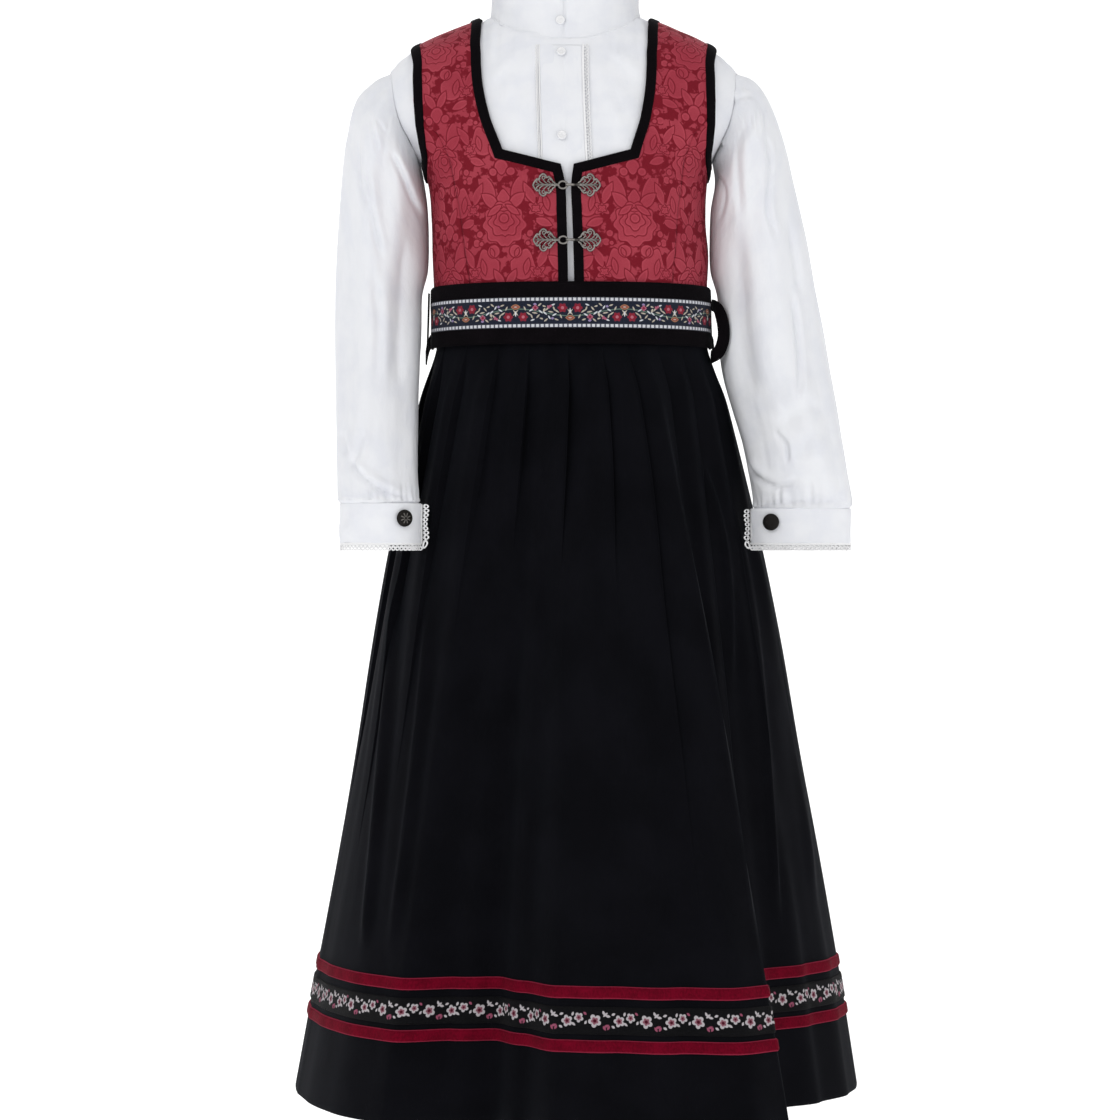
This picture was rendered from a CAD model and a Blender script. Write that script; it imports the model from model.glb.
"""Child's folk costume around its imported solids: every cloth is built again finely, on the same
tables and surfaces as the solids, with its creases, weave, ribbons, lace and metal.

Units are metres in the row frame: +Z up, the front faces -Y, +X is on the viewer's right. Tables
are in mm and degrees.
"""
import math

import bpy
import numpy as np
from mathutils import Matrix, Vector


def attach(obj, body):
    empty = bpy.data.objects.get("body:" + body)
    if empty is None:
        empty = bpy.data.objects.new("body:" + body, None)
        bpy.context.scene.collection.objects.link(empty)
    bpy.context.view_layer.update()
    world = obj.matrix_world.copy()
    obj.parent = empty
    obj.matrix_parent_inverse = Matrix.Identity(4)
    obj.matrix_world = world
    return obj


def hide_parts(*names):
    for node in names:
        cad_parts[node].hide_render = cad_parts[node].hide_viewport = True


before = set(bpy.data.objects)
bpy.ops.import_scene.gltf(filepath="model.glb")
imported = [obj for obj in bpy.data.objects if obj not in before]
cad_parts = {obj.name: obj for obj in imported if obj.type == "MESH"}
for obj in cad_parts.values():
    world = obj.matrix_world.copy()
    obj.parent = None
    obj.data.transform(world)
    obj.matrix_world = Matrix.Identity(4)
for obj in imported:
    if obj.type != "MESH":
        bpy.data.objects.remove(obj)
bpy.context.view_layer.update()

MM = 0.001
VEST_OUT = 3.1 * MM
BELT_TOP = -208.0
BELT_BOTTOM = -260.0
SKIRT_TOP = -245.0
SKIRT_HEM = -887.0
TORSO_POWER = 2.3

# The shirt's outside round the body, one row per level.
TORSO = np.array([
    # level, centre, half width, front, back
    (34.0, -1.0, 57.0, 36.0, 43.0),
    (21.5, -1.2, 64.0, 41.0, 47.0),
    (18.0, -1.5, 70.0, 44.0, 50.0),
    (10.0, -2.0, 90.0, 49.0, 55.0),
    (0.0, -2.5, 113.0, 54.0, 61.0),
    (-10.0, -2.8, 131.0, 59.0, 66.0),
    (-25.0, -2.8, 146.5, 65.0, 71.0),
    (-40.0, -2.6, 154.5, 70.0, 75.0),
    (-55.0, -2.2, 154.5, 75.0, 79.0),
    (-72.0, -1.6, 147.0, 80.0, 82.0),
    (-88.0, -1.0, 134.0, 84.0, 84.0),
    (-101.0, -0.5, 123.5, 87.0, 85.0),
    (-112.0, 0.0, 117.5, 88.5, 85.0),
    (-128.0, 0.8, 114.5, 89.5, 84.0),
    (-150.0, 1.6, 113.0, 89.0, 82.0),
    (-180.0, 2.6, 114.0, 86.5, 79.5),
    (-208.0, 3.2, 113.0, 84.0, 77.5),
    (-235.0, 3.4, 111.5, 82.5, 77.0),
    (-260.0, 3.6, 111.5, 83.0, 79.0),
    (-330.0, 4.0, 116.0, 88.0, 88.0),
])[::-1]

# Edges on the torso surface: (angle, level), from the shoulder to the underarm.
SEAM_FRONT = [(90, -25), (82.5, -26.3), (75, -29.5), (69.5, -36), (66.3, -44), (65.3, -53), (66, -62),
              (68, -71), (71, -80), (75, -87.5), (79.5, -94), (85, -98.5), (90, -101)]
SEAM_BACK = [(90, -25), (97.5, -26.3), (105, -29.5), (110, -36), (113, -44), (114, -53), (113.3, -62),
             (111, -71), (108, -80), (104, -87.5), (100, -94), (95, -98.5), (90, -101)]
ARM_FRONT = [(90, -6.5), (85.5, -7), (80.5, -8.2), (73.5, -10.6), (64.5, -15.3), (57.5, -22.5), (53.2, -32),
             (50.8, -45), (51.6, -60), (54.9, -73), (61, -85.5), (71.5, -99.5), (90, -110)]
ARM_BACK = [(90, -6.5), (94.5, -7), (99.5, -8.2), (106, -10.6), (114.5, -15.3), (120, -23), (123, -33),
            (124.3, -46), (123, -60), (119.5, -71.5), (114.5, -83.5), (104.5, -99), (90, -110)]
NECK = np.array([
    # turn round the collar, torso angle, level
    (0, 0, -3.5), (18, 7.5, -2), (35, 16.8, 3), (50.5, 28.9, 9), (66, 45.7, 15), (80, 64.6, 19),
    (90, 90, 21.5), (110, 112, 21), (130, 133, 20), (150, 153, 19.5), (180, 180, 19.5),
], float)
# Vest front opening and neckline, and the princess seam: distance from the centre, level.
FRONT_EDGE = [(3.6, -232), (3.5, -208), (3.4, -180), (3.3, -155), (3.3, -130), (6.2, -112.4),
              (30, -106), (52.8, -99.6), (60.5, -78), (65.1, -60), (68, -42), (69.1, -26.5), (69.6, -12),
              (69.8, 1), (69.9, 9.5), (70, 14.8)]
FRONT_CORNERS = (5, 7)
PRINCESS = [(81, -232), (83, -208), (86, -180), (88.5, -155), (91, -135), (94.5, -115),
            (98, -100), (105, -84)]
BACK_NECK = [(90, 18.2), (101, 15.5), (114, 8), (126, -2), (138, -14), (150, -23), (165, -29), (180, -31)]
COLLAR = np.array([
    # share of height, half width, front, back, level at front, at side, at back
    (0.0, 63.5, 54.0, 49.0, -3.2, 21.8, 19.8),
    (0.35, 62.8, 52.0, 48.0, 9.0, 30.0, 32.0),
    (0.7, 62.6, 50.5, 47.5, 22.5, 38.5, 44.5),
    (1.0, 62.6, 49.5, 47.0, 35.0, 46.5, 54.0),
])
# Sleeve sections from the head seam to the cuff.
SLEEVES = {
    # side: rows of outer x, outer z, inner x, inner z, centre y, half depth
    1: np.array([
        (146.5, -25.0, 123.0, -101.0, 0.0, 40.0), (161.5, -33.0, 126.0, -118.0, 1.0, 46.0),
        (174.5, -55.0, 123.6, -140.0, 1.0, 50.0), (184.0, -82.0, 122.6, -165.0, 0.0, 51.0),
        (190.5, -108.0, 123.0, -190.0, 0.0, 51.0), (200.5, -155.0, 128.0, -222.0, -3.0, 50.0),
        (208.5, -200.0, 128.5, -252.0, -8.0, 49.0), (216.0, -243.0, 131.5, -282.0, -14.0, 47.0),
        (223.0, -285.0, 139.5, -312.0, -22.0, 45.0), (229.0, -325.0, 147.5, -340.0, -31.0, 42.0),
        (233.5, -358.0, 152.0, -367.0, -40.0, 36.0), (237.0, -383.0, 155.0, -388.0, -46.0, 26.0),
        (237.4, -394.2, 155.4, -394.2, -48.0, 16.4)]),
    -1: np.array([
        (-151.5, -25.0, -125.0, -101.0, 0.0, 40.0), (-166.5, -33.5, -122.0, -118.0, 1.0, 46.0),
        (-180.0, -50.5, -119.6, -140.0, 1.0, 50.0), (-187.0, -80.0, -119.0, -165.0, 0.0, 51.0),
        (-190.5, -108.0, -119.4, -190.0, -2.0, 51.0), (-193.0, -155.0, -123.0, -216.0, -7.0, 50.0),
        (-195.0, -200.0, -123.0, -241.0, -15.0, 49.0), (-195.0, -245.0, -123.5, -266.0, -26.0, 47.0),
        (-194.0, -285.0, -124.0, -294.0, -40.0, 44.0), (-192.5, -325.0, -124.0, -329.0, -56.0, 41.0),
        (-191.5, -358.0, -124.0, -361.0, -71.0, 35.0), (-189.5, -381.0, -122.5, -382.0, -83.0, 28.0),
        (-188.2, -390.5, -121.2, -390.5, -88.0, 24.4)]),
}
SLEEVE_FOLDS = [
    # turn, drift of the turn down the sleeve, first and last share, height, half width in degrees
    (60, 25, 0.05, 0.60, 3.0, 22), (115, -20, 0.12, 0.70, 2.5, 20), (85, -30, 0.50, 0.97, 3.0, 24),
    (150, 0, 0.30, 0.90, 2.5, 24), (25, 10, 0.35, 0.95, 2.0, 22), (250, 15, 0.08, 0.80, 3.0, 26),
    (300, -10, 0.25, 0.95, 2.5, 24),
]
CUFFS = {
    # side: centre x, centre y, half width, half depth, top, bottom, button turn
    1: (196.4, -48.0, 41.0, 15.4, -394.9, -424.0, 44.0),
    -1: (-154.7, -88.0, 33.0, 23.4, -391.4, -424.2, 45.5),
}
CUFF_LAP = 34.0
HEM = np.array([
    # angle, distance from the axis; 0 front, 90 viewer's right
    (-180, 247), (-163, 229), (-146, 251), (-129, 222), (-112, 242), (-95, 233), (-78, 228), (-62, 230),
    (-50, 234), (-40, 235), (-30, 197), (-20, 181), (-11, 203), (-2, 238), (8, 250), (20, 270),
    (30, 296), (36.5, 291), (41, 226), (48, 203), (58, 203), (70, 222), (82, 239), (94, 248),
    (110, 232), (128, 250), (145, 224), (162, 246), (180, 247),
], float)
PLEATS = np.array([
    # fold edge at the belt, at the hem, depth, share of the length where it fades
    (-163, -163, 4.5, 0.55), (-147, -146, 4.5, 0.60), (-131, -129, 4.5, 0.50), (-116, -113, 4.5, 0.65),
    (-102, -97, 4.5, 0.55), (-87, -80, 4.0, 0.60), (-71, -64, 4.5, 0.70), (-55, -51, 5.0, 0.60),
    (-38, -39, 5.5, 0.42), (-23, -24, 4.5, 0.30), (-2, -5, 4.5, 0.32), (16, 13, 3.5, 0.34),
    (29, 25, 4.5, 0.38), (45, 36.5, 5.5, 0.80), (57, 50, 5.0, 0.90), (69, 65, 4.5, 0.75),
    (83, 81, 4.0, 0.60), (98, 97, 4.5, 0.60), (114, 114, 4.5, 0.55), (131, 130, 4.5, 0.60),
    (147, 146, 4.5, 0.50), (164, 163, 4.5, 0.60), (180, 180, 4.5, 0.55),
], float)
HEM_CENTRE = 0.5
WAIST_CENTRE = 4.5
WAIST_HALF = 114.8
FLARE_START = 0.024


def ease(value, low, high):
    """0 below `low`, 1 above `high`, smooth between them."""
    share = np.clip((value - low) / (high - low), 0.0, 1.0)
    return share * share * (3.0 - 2.0 * share)


def curve(x, xs, ys):
    """Smooth curve through a table's points, held at its ends."""
    xs = np.asarray(xs, float)
    ys = np.asarray(ys, float)
    gaps = np.diff(xs)
    rise = np.diff(ys) / gaps
    slope = np.concatenate([rise[:1], (rise[:-1] * gaps[1:] + rise[1:] * gaps[:-1]) / (xs[2:] - xs[:-2]),
                            rise[-1:]])
    low = np.clip(np.searchsorted(xs, x) - 1, 0, len(xs) - 2)
    gap = gaps[low]
    t = np.clip((x - xs[low]) / gap, 0.0, 1.0)
    return ((1 + 2 * t) * (1 - t) ** 2 * ys[low] + t * (1 - t) ** 2 * gap * slope[low]
            + t * t * (3 - 2 * t) * ys[low + 1] + t * t * (t - 1) * gap * slope[low + 1])


def lattice(x, y, seed):
    """Smooth random values from -1 to 1, about one hill or hollow for each unit of x and y."""
    table = np.random.default_rng(seed).uniform(-1.0, 1.0, (64, 64))
    x0, y0 = np.floor(x), np.floor(y)
    fx, fy = x - x0, y - y0
    fx, fy = fx * fx * (3 - 2 * fx), fy * fy * (3 - 2 * fy)
    i, j = x0.astype(int) % 64, y0.astype(int) % 64
    i1, j1 = (i + 1) % 64, (j + 1) % 64
    low = table[i, j] * (1 - fx) + table[i1, j] * fx
    high = table[i, j1] * (1 - fx) + table[i1, j1] * fx
    return low * (1 - fy) + high * fy


def crease(x, y, start, end, width, height, bow=0.0):
    """Ridge (or trough, where height is negative) along a slightly bowed line, tapering at both ends."""
    run = np.array(end, float) - np.array(start, float)
    size = math.hypot(*run)
    run = run / size
    along = ((x - start[0]) * run[0] + (y - start[1]) * run[1]) / size
    off = (x - start[0]) * -run[1] + (y - start[1]) * run[0]
    off = off - bow * 4.0 * along * (1.0 - along)
    fade = ease(along, -0.05, 0.30) * (1.0 - ease(along, 0.65, 1.05))
    return height * np.exp(-(off / width) ** 2) * fade


def seen(points):
    """Where points are seen from the front, in mm on the upright plane through the axis."""
    near = 2.9 / (2.9 + points[..., 1])
    x = (points[..., 0] / MM + 5.95) * near - 5.95
    z = (points[..., 2] / MM + 438.0) * near - 438.0
    return x, z


def fold_line(x, y, path, width, height, beside=0.6):
    """Trough (or ridge) along a curved line, with a softer rise on its left; fades at both ends."""
    keys = np.asarray(path, float)
    steps = np.linspace(0, len(keys) - 1, (len(keys) - 1) * 5 + 1)
    places = np.arange(len(keys))
    through = curve if len(keys) > 2 else np.interp
    line = np.stack([through(steps, places, keys[:, k]) for k in (0, 1)], -1)
    best = np.full(x.shape, 1e9)
    side = np.zeros(x.shape)
    share = np.zeros(x.shape)
    for k in range(len(line) - 1):
        run = line[k + 1] - line[k]
        size = max(float(run @ run), 1e-9)
        t = np.clip(((x - line[k, 0]) * run[0] + (y - line[k, 1]) * run[1]) / size, 0.0, 1.0)
        dx, dy = x - line[k, 0] - run[0] * t, y - line[k, 1] - run[1] * t
        far = dx * dx + dy * dy
        closer = far < best
        best = np.where(closer, far, best)
        side = np.where(closer, np.sign(run[0] * dy - run[1] * dx), side)
        share = np.where(closer, (k + t) / (len(line) - 1), share)
    off = np.sqrt(best) * side
    fade = ease(share, -0.02, 0.22) * (1.0 - ease(share, 0.78, 1.02))
    rise = np.exp(-((off - 2.1 * width) / (1.5 * width)) ** 2)
    return height * fade * (np.exp(-(off / width) ** 2) - beside * rise)


# Surfaces

def column(index, level):
    return curve(level, TORSO[:, 0], TORSO[:, index])


def soft_power(value, power):
    return value * (value * value + 0.003) ** ((power - 1.0) / 2.0)


def torso(angle, level):
    """Points of the shirt's outside. Angle in degrees: 0 front, 90 viewer's right, 180 back."""
    angle, level = np.broadcast_arrays(np.asarray(angle, float), np.asarray(level, float))
    sine, cosine = np.sin(np.radians(angle)), np.cos(np.radians(angle))
    exponent = 2.0 / TORSO_POWER
    depth = np.where(cosine > 0, column(3, level), column(4, level))
    x = column(1, level) + column(2, level) * soft_power(sine, exponent)
    return np.stack([x, -depth * soft_power(cosine, exponent), level], -1) * MM


def torso_angle(distance, level):
    share = np.minimum(np.abs(distance) / column(2, level), 1.0)
    return np.copysign(np.degrees(np.arcsin(share ** (TORSO_POWER / 2.0))), distance)


def slopes(surface, u, v, du=0.4, dv=0.4):
    along = (surface(u + du, v) - surface(u - du, v)) / (2 * du)
    up = (surface(u, v + dv) - surface(u, v - dv)) / (2 * dv)
    return along, up


def unit(vectors):
    return vectors / np.maximum(np.linalg.norm(vectors, axis=-1, keepdims=True), 1e-12)


def lifted(surface, u, v, lift):
    """Points of a surface moved out by `lift`."""
    u, v = np.broadcast_arrays(np.asarray(u, float), np.asarray(v, float))
    along, up = slopes(surface, u, v)
    return surface(u, v) + unit(np.cross(along, up)) * np.expand_dims(np.broadcast_to(lift, u.shape), -1)


def refine(path, parts, corners=(), closed=False):
    """Path through the given points with `parts` steps between each pair, smooth but for the corners."""
    keys = np.asarray(path, float)
    if closed:
        keys = np.concatenate([keys[-2:], keys, keys[:3]])
        steps = np.arange(len(path) * parts + 1) / parts + 2
        places = np.arange(len(keys))
        return np.stack([curve(steps, places, keys[:, 0]), curve(steps, places, keys[:, 1])], -1)
    ends = [0, *corners, len(keys) - 1]
    pieces = []
    for first, last in zip(ends[:-1], ends[1:]):
        places = np.arange(first, last + 1)
        steps = np.arange((last - first) * parts) / parts + first
        part = keys[first:last + 1]
        if last - first < 2:
            pieces.append(np.stack([np.interp(steps, places, part[:, k]) for k in (0, 1)], -1))
        else:
            pieces.append(np.stack([curve(steps, places, part[:, k]) for k in (0, 1)], -1))
    return np.concatenate(pieces + [keys[-1:]])


def moved_in(surface, path, widths, closed=False):
    """Path on a surface moved to its left, with mitred corners; one path for each width in mm."""
    path = np.asarray(path, float)
    points = surface(path[:, 0], path[:, 1])
    along, up = slopes(surface, path[:, 0], path[:, 1])
    normal = unit(np.cross(along, up))
    runs = np.diff(points, axis=0)
    if closed:
        before = np.concatenate([runs[-1:], runs])
        after = np.concatenate([runs, runs[:1]])
    else:
        before = np.concatenate([runs[:1], runs])
        after = np.concatenate([runs, runs[-1:]])
    side_a, side_b = unit(np.cross(normal, before)), unit(np.cross(normal, after))
    side = unit(side_a + side_b)
    side = side / np.maximum((side * side_a).sum(-1, keepdims=True), 0.5)
    result = []
    for width in widths:
        step = side * width * MM
        grown = np.stack([along, up], -1)
        solved = np.einsum("nij,nj->ni", np.linalg.pinv(grown), step)
        if not closed:
            for end in (0, -1):
                if abs(abs((path[end, 0] + 180.0) % 360.0 - 180.0) - 90.0) < 0.5:
                    height = float((step[end] * unit(up[end])).sum()) / float(np.linalg.norm(up[end]))
                    solved[end] = (0.0, math.copysign(abs(width) * MM / np.linalg.norm(up[end]), height))
        result.append(path + solved)
    return result


def mirrored(path, side):
    return np.asarray(path, float) * np.array([side, 1.0])


def shirt(angle, level):
    """The shirt's outside, pressed in a little where the vest covers it, with its creases."""
    angle, level = np.broadcast_arrays(np.asarray(angle, float), np.asarray(level, float))
    turn = np.abs((angle + 180.0) % 360.0 - 180.0)
    start = 108.0 - 8.0 * np.abs(np.sin(np.radians(turn))) ** 4
    covered = ease(-level, start, start + 13.0)
    edge = np.interp(turn, [row[0] for row in BACK_NECK], [row[1] for row in BACK_NECK])
    covered = np.maximum(covered, np.where(turn > 90,
                                           ease(turn, 103.0, 113.0) * ease(edge - level, 5.0, 14.0), 0.0))
    point = torso(angle, level)
    centre = np.stack([np.zeros_like(level), np.zeros_like(level), level * MM], -1)
    inward = unit(centre - point)
    return point + inward * covered[..., None] * 1.7 * MM


def collar(angle, height):
    """Points of the collar's outside; height 0 at its seam, 1 at its top."""
    angle, height = np.broadcast_arrays(np.asarray(angle, float), np.asarray(height, float))
    half, front, back, low_f, low_s, low_b = (curve(height, COLLAR[:, 0], COLLAR[:, k]) for k in range(1, 7))
    sine, cosine = np.sin(np.radians(angle)), np.cos(np.radians(angle))
    depth = np.where(cosine > 0, front, back)
    end = np.where(cosine > 0, low_f, low_b)
    level = low_s + (end - low_s) * cosine * cosine
    top = np.stack([-1.3 + half * sine, -depth * cosine, level], -1) * MM
    folded = np.abs((angle + 180.0) % 360.0 - 180.0)
    seam_angle = curve(folded, NECK[:, 0], NECK[:, 1]) * np.where(angle % 360.0 <= 180.0, 1.0, -1.0)
    seam_level = curve(folded, NECK[:, 0], NECK[:, 2])
    low_share = np.clip(1.0 - height / 0.35, 0.0, 1.0)[..., None]
    return torso(seam_angle, seam_level) * low_share + top * (1.0 - low_share)


def table_share(rows, index, share):
    """Value of a column at a share of the rows' run, smooth through the rows."""
    return curve(share * (len(rows) - 1), np.arange(len(rows)), rows[:, index])


def arm_seam(side, turn):
    """Shirt armhole seam at a turn: 0 shoulder, 90 front, 180 underarm, 270 back."""
    turn = turn % 360.0
    place = np.where(turn <= 180, turn, 360.0 - turn) / 15.0
    keys = np.arange(13)
    angle, level = (
        np.where(turn <= 180, curve(place, keys, [row[k] for row in SEAM_FRONT]),
                 curve(place, keys, [row[k] for row in SEAM_BACK])) for k in (0, 1))
    return torso(side * angle, level) + np.array([side * 0.45 * MM, 0.0, 0.0])


def hem_distance(angle):
    angle = (angle + 180.0) % 360.0 - 180.0
    low = np.clip(np.searchsorted(HEM[:, 0], angle, side="right") - 1, 0, len(HEM) - 2)
    t = (angle - HEM[low, 0]) / (HEM[low + 1, 0] - HEM[low, 0])
    return HEM[low, 1] + (HEM[low + 1, 1] - HEM[low, 1]) * t * t * (3 - 2 * t)


def pleat_at(angle):
    """Index of the pleat that an angle at the belt falls in, and how far across it is."""
    angle = (angle + 180.0) % 360.0 - 180.0
    angle = np.where(angle < -179.999, 180.0, angle)
    index = np.clip(np.searchsorted(PLEATS[:, 0], angle - 1e-6), 0, len(PLEATS) - 1)
    before = np.where(index > 0, PLEATS[index - 1, 0], PLEATS[-1, 0] - 360)
    return index, (angle - before) / (PLEATS[index, 0] - before)


def skirt(angle, level):
    """Skirt's outside; angle in degrees round the axis at the belt."""
    angle, level = np.broadcast_arrays(np.asarray(angle, float), np.asarray(level, float))
    share = (level - SKIRT_TOP) / (SKIRT_HEM - SKIRT_TOP)
    down = np.maximum(share, 0.0)
    index, off = pleat_at(angle)
    turn = np.where(index == 0, -360.0, 0.0)
    low_belt, low_hem = PLEATS[index - 1, 0] + turn, PLEATS[index - 1, 1] + turn
    at_belt = low_belt + (PLEATS[index, 0] - low_belt) * off
    at_hem = low_hem + (PLEATS[index, 1] - low_hem) * off
    turned = angle + (at_hem - at_belt) * down ** 0.6
    sine, cosine = np.sin(np.radians(turned)), np.cos(np.radians(turned))
    front = np.where(cosine > 0, 86.2, 82.0)
    waist = np.abs(sine / WAIST_HALF) ** TORSO_POWER + np.abs(cosine / front) ** TORSO_POWER
    waist = waist ** (-1 / TORSO_POWER)
    spread = np.maximum(share - FLARE_START, 0.0) / (1.0 - FLARE_START)
    belly = np.sin(math.pi * np.minimum(spread, 1.0)) * np.maximum(sine, 0.0) ** 2
    open_share = spread ** 0.93 + 0.045 * belly
    size = waist + (hem_distance(turned) - waist) * open_share
    fade = PLEATS[index, 3]
    strength = (0.12 + 0.88 * ease(down, FLARE_START, 0.10)) * (1 - ease(down, fade * 0.45, fade))
    size = size + PLEATS[index, 2] * ease(off, 0.10, 0.9) * strength
    size = size + skirt_creases(turned, down)
    centre = WAIST_CENTRE + (HEM_CENTRE - WAIST_CENTRE) * share
    return np.stack([centre + size * sine, -size * cosine, level], -1) * MM


def skirt_creases(turned, down):
    """Soft upright folds below the pleats, in mm: uneven, and fading towards the belt."""
    wander = lattice(turned / 26.0, down * 2.2, 5) * 5.0
    folds = lattice((turned + wander) / 9.0, down * 1.3 + 7.0, 11) * 1.5
    folds = folds + lattice((turned + wander) / 3.7, down * 2.4, 12) * 0.55
    slack = lattice(turned / 14.0, down * 9.0, 13) * 0.5
    return (folds + slack) * ease(down, 0.10, 0.45) * (1.0 - 0.25 * ease(down, 0.75, 0.95))


def belt_surface(angle, level):
    share = np.expand_dims((BELT_TOP - np.asarray(level, float)) / (BELT_TOP - BELT_BOTTOM), -1)
    angle = np.asarray(angle, float)
    top = lifted(torso, angle, BELT_TOP, 4.2 * MM)
    bottom = lifted(torso, angle, BELT_BOTTOM, 6.0 * MM)
    return top * (1.0 - share) + bottom * share


# Materials: patterns are worked out from the cloth's own coordinates, in mm along and across it

class Num:
    """A number (or a colour) in a material's nodes, with ordinary arithmetic."""

    def __init__(self, tree, socket):
        self.tree = tree
        self.socket = socket

    def math(self, kind, *others):
        node = self.tree.nodes.new("ShaderNodeMath")
        node.operation = kind
        for place, item in enumerate((self, *others)):
            feed(self.tree, item, node.inputs[place])
        return Num(self.tree, node.outputs[0])

    def __add__(self, other):
        return self.math("ADD", other)

    def __sub__(self, other):
        return self.math("SUBTRACT", other)

    def __rsub__(self, other):
        return self.math("MULTIPLY_ADD", -1.0, other)

    def __mul__(self, other):
        return self.math("MULTIPLY", other)

    def __truediv__(self, other):
        return self.math("DIVIDE", other)

    __radd__ = __add__
    __rmul__ = __mul__

    def abs(self):
        return self.math("ABSOLUTE")

    def wrap(self, period):
        """The distance to the nearest whole period."""
        return self.math("WRAP", period / 2, -period / 2)

    def step(self, low, high):
        """0 below `low`, 1 above `high`, smooth between them."""
        node = self.tree.nodes.new("ShaderNodeMapRange")
        node.interpolation_type = "SMOOTHSTEP"
        feed(self.tree, self, node.inputs["Value"])
        node.inputs["From Min"].default_value = low
        node.inputs["From Max"].default_value = high
        return Num(self.tree, node.outputs["Result"])


def feed(tree, item, socket):
    if isinstance(item, Num):
        tree.links.new(item.socket, socket)
    elif hasattr(socket.default_value, "__len__"):
        socket.default_value = (*item, 1.0)[:len(socket.default_value)]
    else:
        socket.default_value = item


def distance(x, y):
    joined = x.tree.nodes.new("ShaderNodeCombineXYZ")
    feed(x.tree, x, joined.inputs[0])
    feed(x.tree, y, joined.inputs[1])
    node = x.tree.nodes.new("ShaderNodeVectorMath")
    node.operation = "LENGTH"
    x.tree.links.new(joined.outputs[0], node.inputs[0])
    return Num(x.tree, node.outputs["Value"])


def turned_to(x, y, place, degrees):
    """Coordinates from a place, turned by an angle."""
    cosine, sine = math.cos(math.radians(degrees)), math.sin(math.radians(degrees))
    x, y = x - place[0], y - place[1]
    return x * cosine + y * sine, y * cosine - x * sine


# Shapes: how far inside each point is, in mm.

def disc(x, y, place, radius):
    return radius - distance(x - place[0], y - place[1])


def flower(x, y, place, radius, petals, depth=0.18, turn=0.0):
    x, y = x - place[0], y - place[1]
    lobes = (y.math("ARCTAN2", x) * petals + turn).math("COSINE")
    return lobes * (radius * depth) + radius * (1 - depth) - distance(x, y)


def petals(x, y, place, radius, count, turn=0.0):
    """Separate round petals about a place."""
    x, y = x - place[0], y - place[1]
    far = distance(x, y)
    angle = (y.math("ARCTAN2", x) + turn).wrap(2 * math.pi / count)
    along = far * angle.math("COSINE") - radius * 0.60
    across = far * angle.math("SINE")
    return radius * 0.40 - distance(along, across * 1.08)


def leaf(x, y, place, degrees, half_long, half_wide):
    x, y = turned_to(x, y, place, degrees)
    return half_wide - (x * x) * (half_wide / half_long ** 2) - y.abs()


def drop(x, y, place, degrees, radius, taper):
    """Round at the bottom and narrowing upwards."""
    x, y = turned_to(x, y, place, degrees)
    narrow = y.math("MAXIMUM", 0.0) * taper + 1.0
    return radius - distance(x * narrow, y * (1.0 - 0.25 * radius * taper))


class Look:
    """A material and its nodes."""

    def __init__(self, name, color=(0.5, 0.5, 0.5), rough=0.8, metal=0.0, sheen=0.0, sheen_rough=0.5,
                 sheen_tint=(1.0, 1.0, 1.0), specular=0.5, coat=0.0):
        self.made = bpy.data.materials.new(name)
        self.made.use_nodes = True
        self.tree = self.made.node_tree
        self.shader = self.tree.nodes["Principled BSDF"]
        settings = {"Base Color": (*color, 1.0), "Roughness": rough, "Metallic": metal, "Sheen Weight": sheen,
                    "Sheen Roughness": sheen_rough, "Sheen Tint": (*sheen_tint, 1.0),
                    "Specular IOR Level": specular, "Coat Weight": coat}
        for key, value in settings.items():
            self.shader.inputs[key].default_value = value
        node = self.tree.nodes.new("ShaderNodeUVMap")
        node.uv_map = "cloth"
        split = self.tree.nodes.new("ShaderNodeSeparateXYZ")
        self.tree.links.new(node.outputs[0], split.inputs[0])
        self.u = Num(self.tree, split.outputs[0])
        self.v = Num(self.tree, split.outputs[1])

    def noise(self, size, detail=3.0, stretch=1.0, seed=0.0):
        """Cloudy noise with features about `size` mm, 0 to 1."""
        joined = self.tree.nodes.new("ShaderNodeCombineXYZ")
        feed(self.tree, self.u * (1.0 / size), joined.inputs[0])
        feed(self.tree, self.v * (1.0 / size / stretch), joined.inputs[1])
        joined.inputs[2].default_value = seed
        node = self.tree.nodes.new("ShaderNodeTexNoise")
        node.inputs["Scale"].default_value = 1.0
        node.inputs["Detail"].default_value = detail
        self.tree.links.new(joined.outputs[0], node.inputs["Vector"])
        return Num(self.tree, node.outputs["Fac"])

    def weave(self, pitch):
        """Over-and-under threads, 0 to 1."""
        across = (self.u * (2 * math.pi / pitch)).math("SINE")
        along = (self.v * (2 * math.pi / pitch)).math("SINE")
        return across * along * 0.5 + 0.5

    def attribute(self, name):
        node = self.tree.nodes.new("ShaderNodeAttribute")
        node.attribute_name = name
        return Num(self.tree, node.outputs["Fac"])

    def mix(self, share, first, second):
        node = self.tree.nodes.new("ShaderNodeMix")
        node.data_type = "RGBA"
        feed(self.tree, share, node.inputs["Factor"])
        feed(self.tree, first, node.inputs[6])
        feed(self.tree, second, node.inputs[7])
        return Num(self.tree, node.outputs[2])

    def paint(self, colour, inside, new, soft=0.16):
        return self.mix(inside.step(-soft, soft), colour, new)

    def color(self, value):
        feed(self.tree, value, self.shader.inputs["Base Color"])

    def rough(self, value):
        feed(self.tree, value, self.shader.inputs["Roughness"])

    def bump(self, height, strength=1.0):
        """Relief from a height in mm."""
        node = self.tree.nodes.new("ShaderNodeBump")
        node.inputs["Distance"].default_value = MM
        node.inputs["Strength"].default_value = strength
        feed(self.tree, height, node.inputs["Height"])
        self.tree.links.new(node.outputs[0], self.shader.inputs["Normal"])


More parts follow.
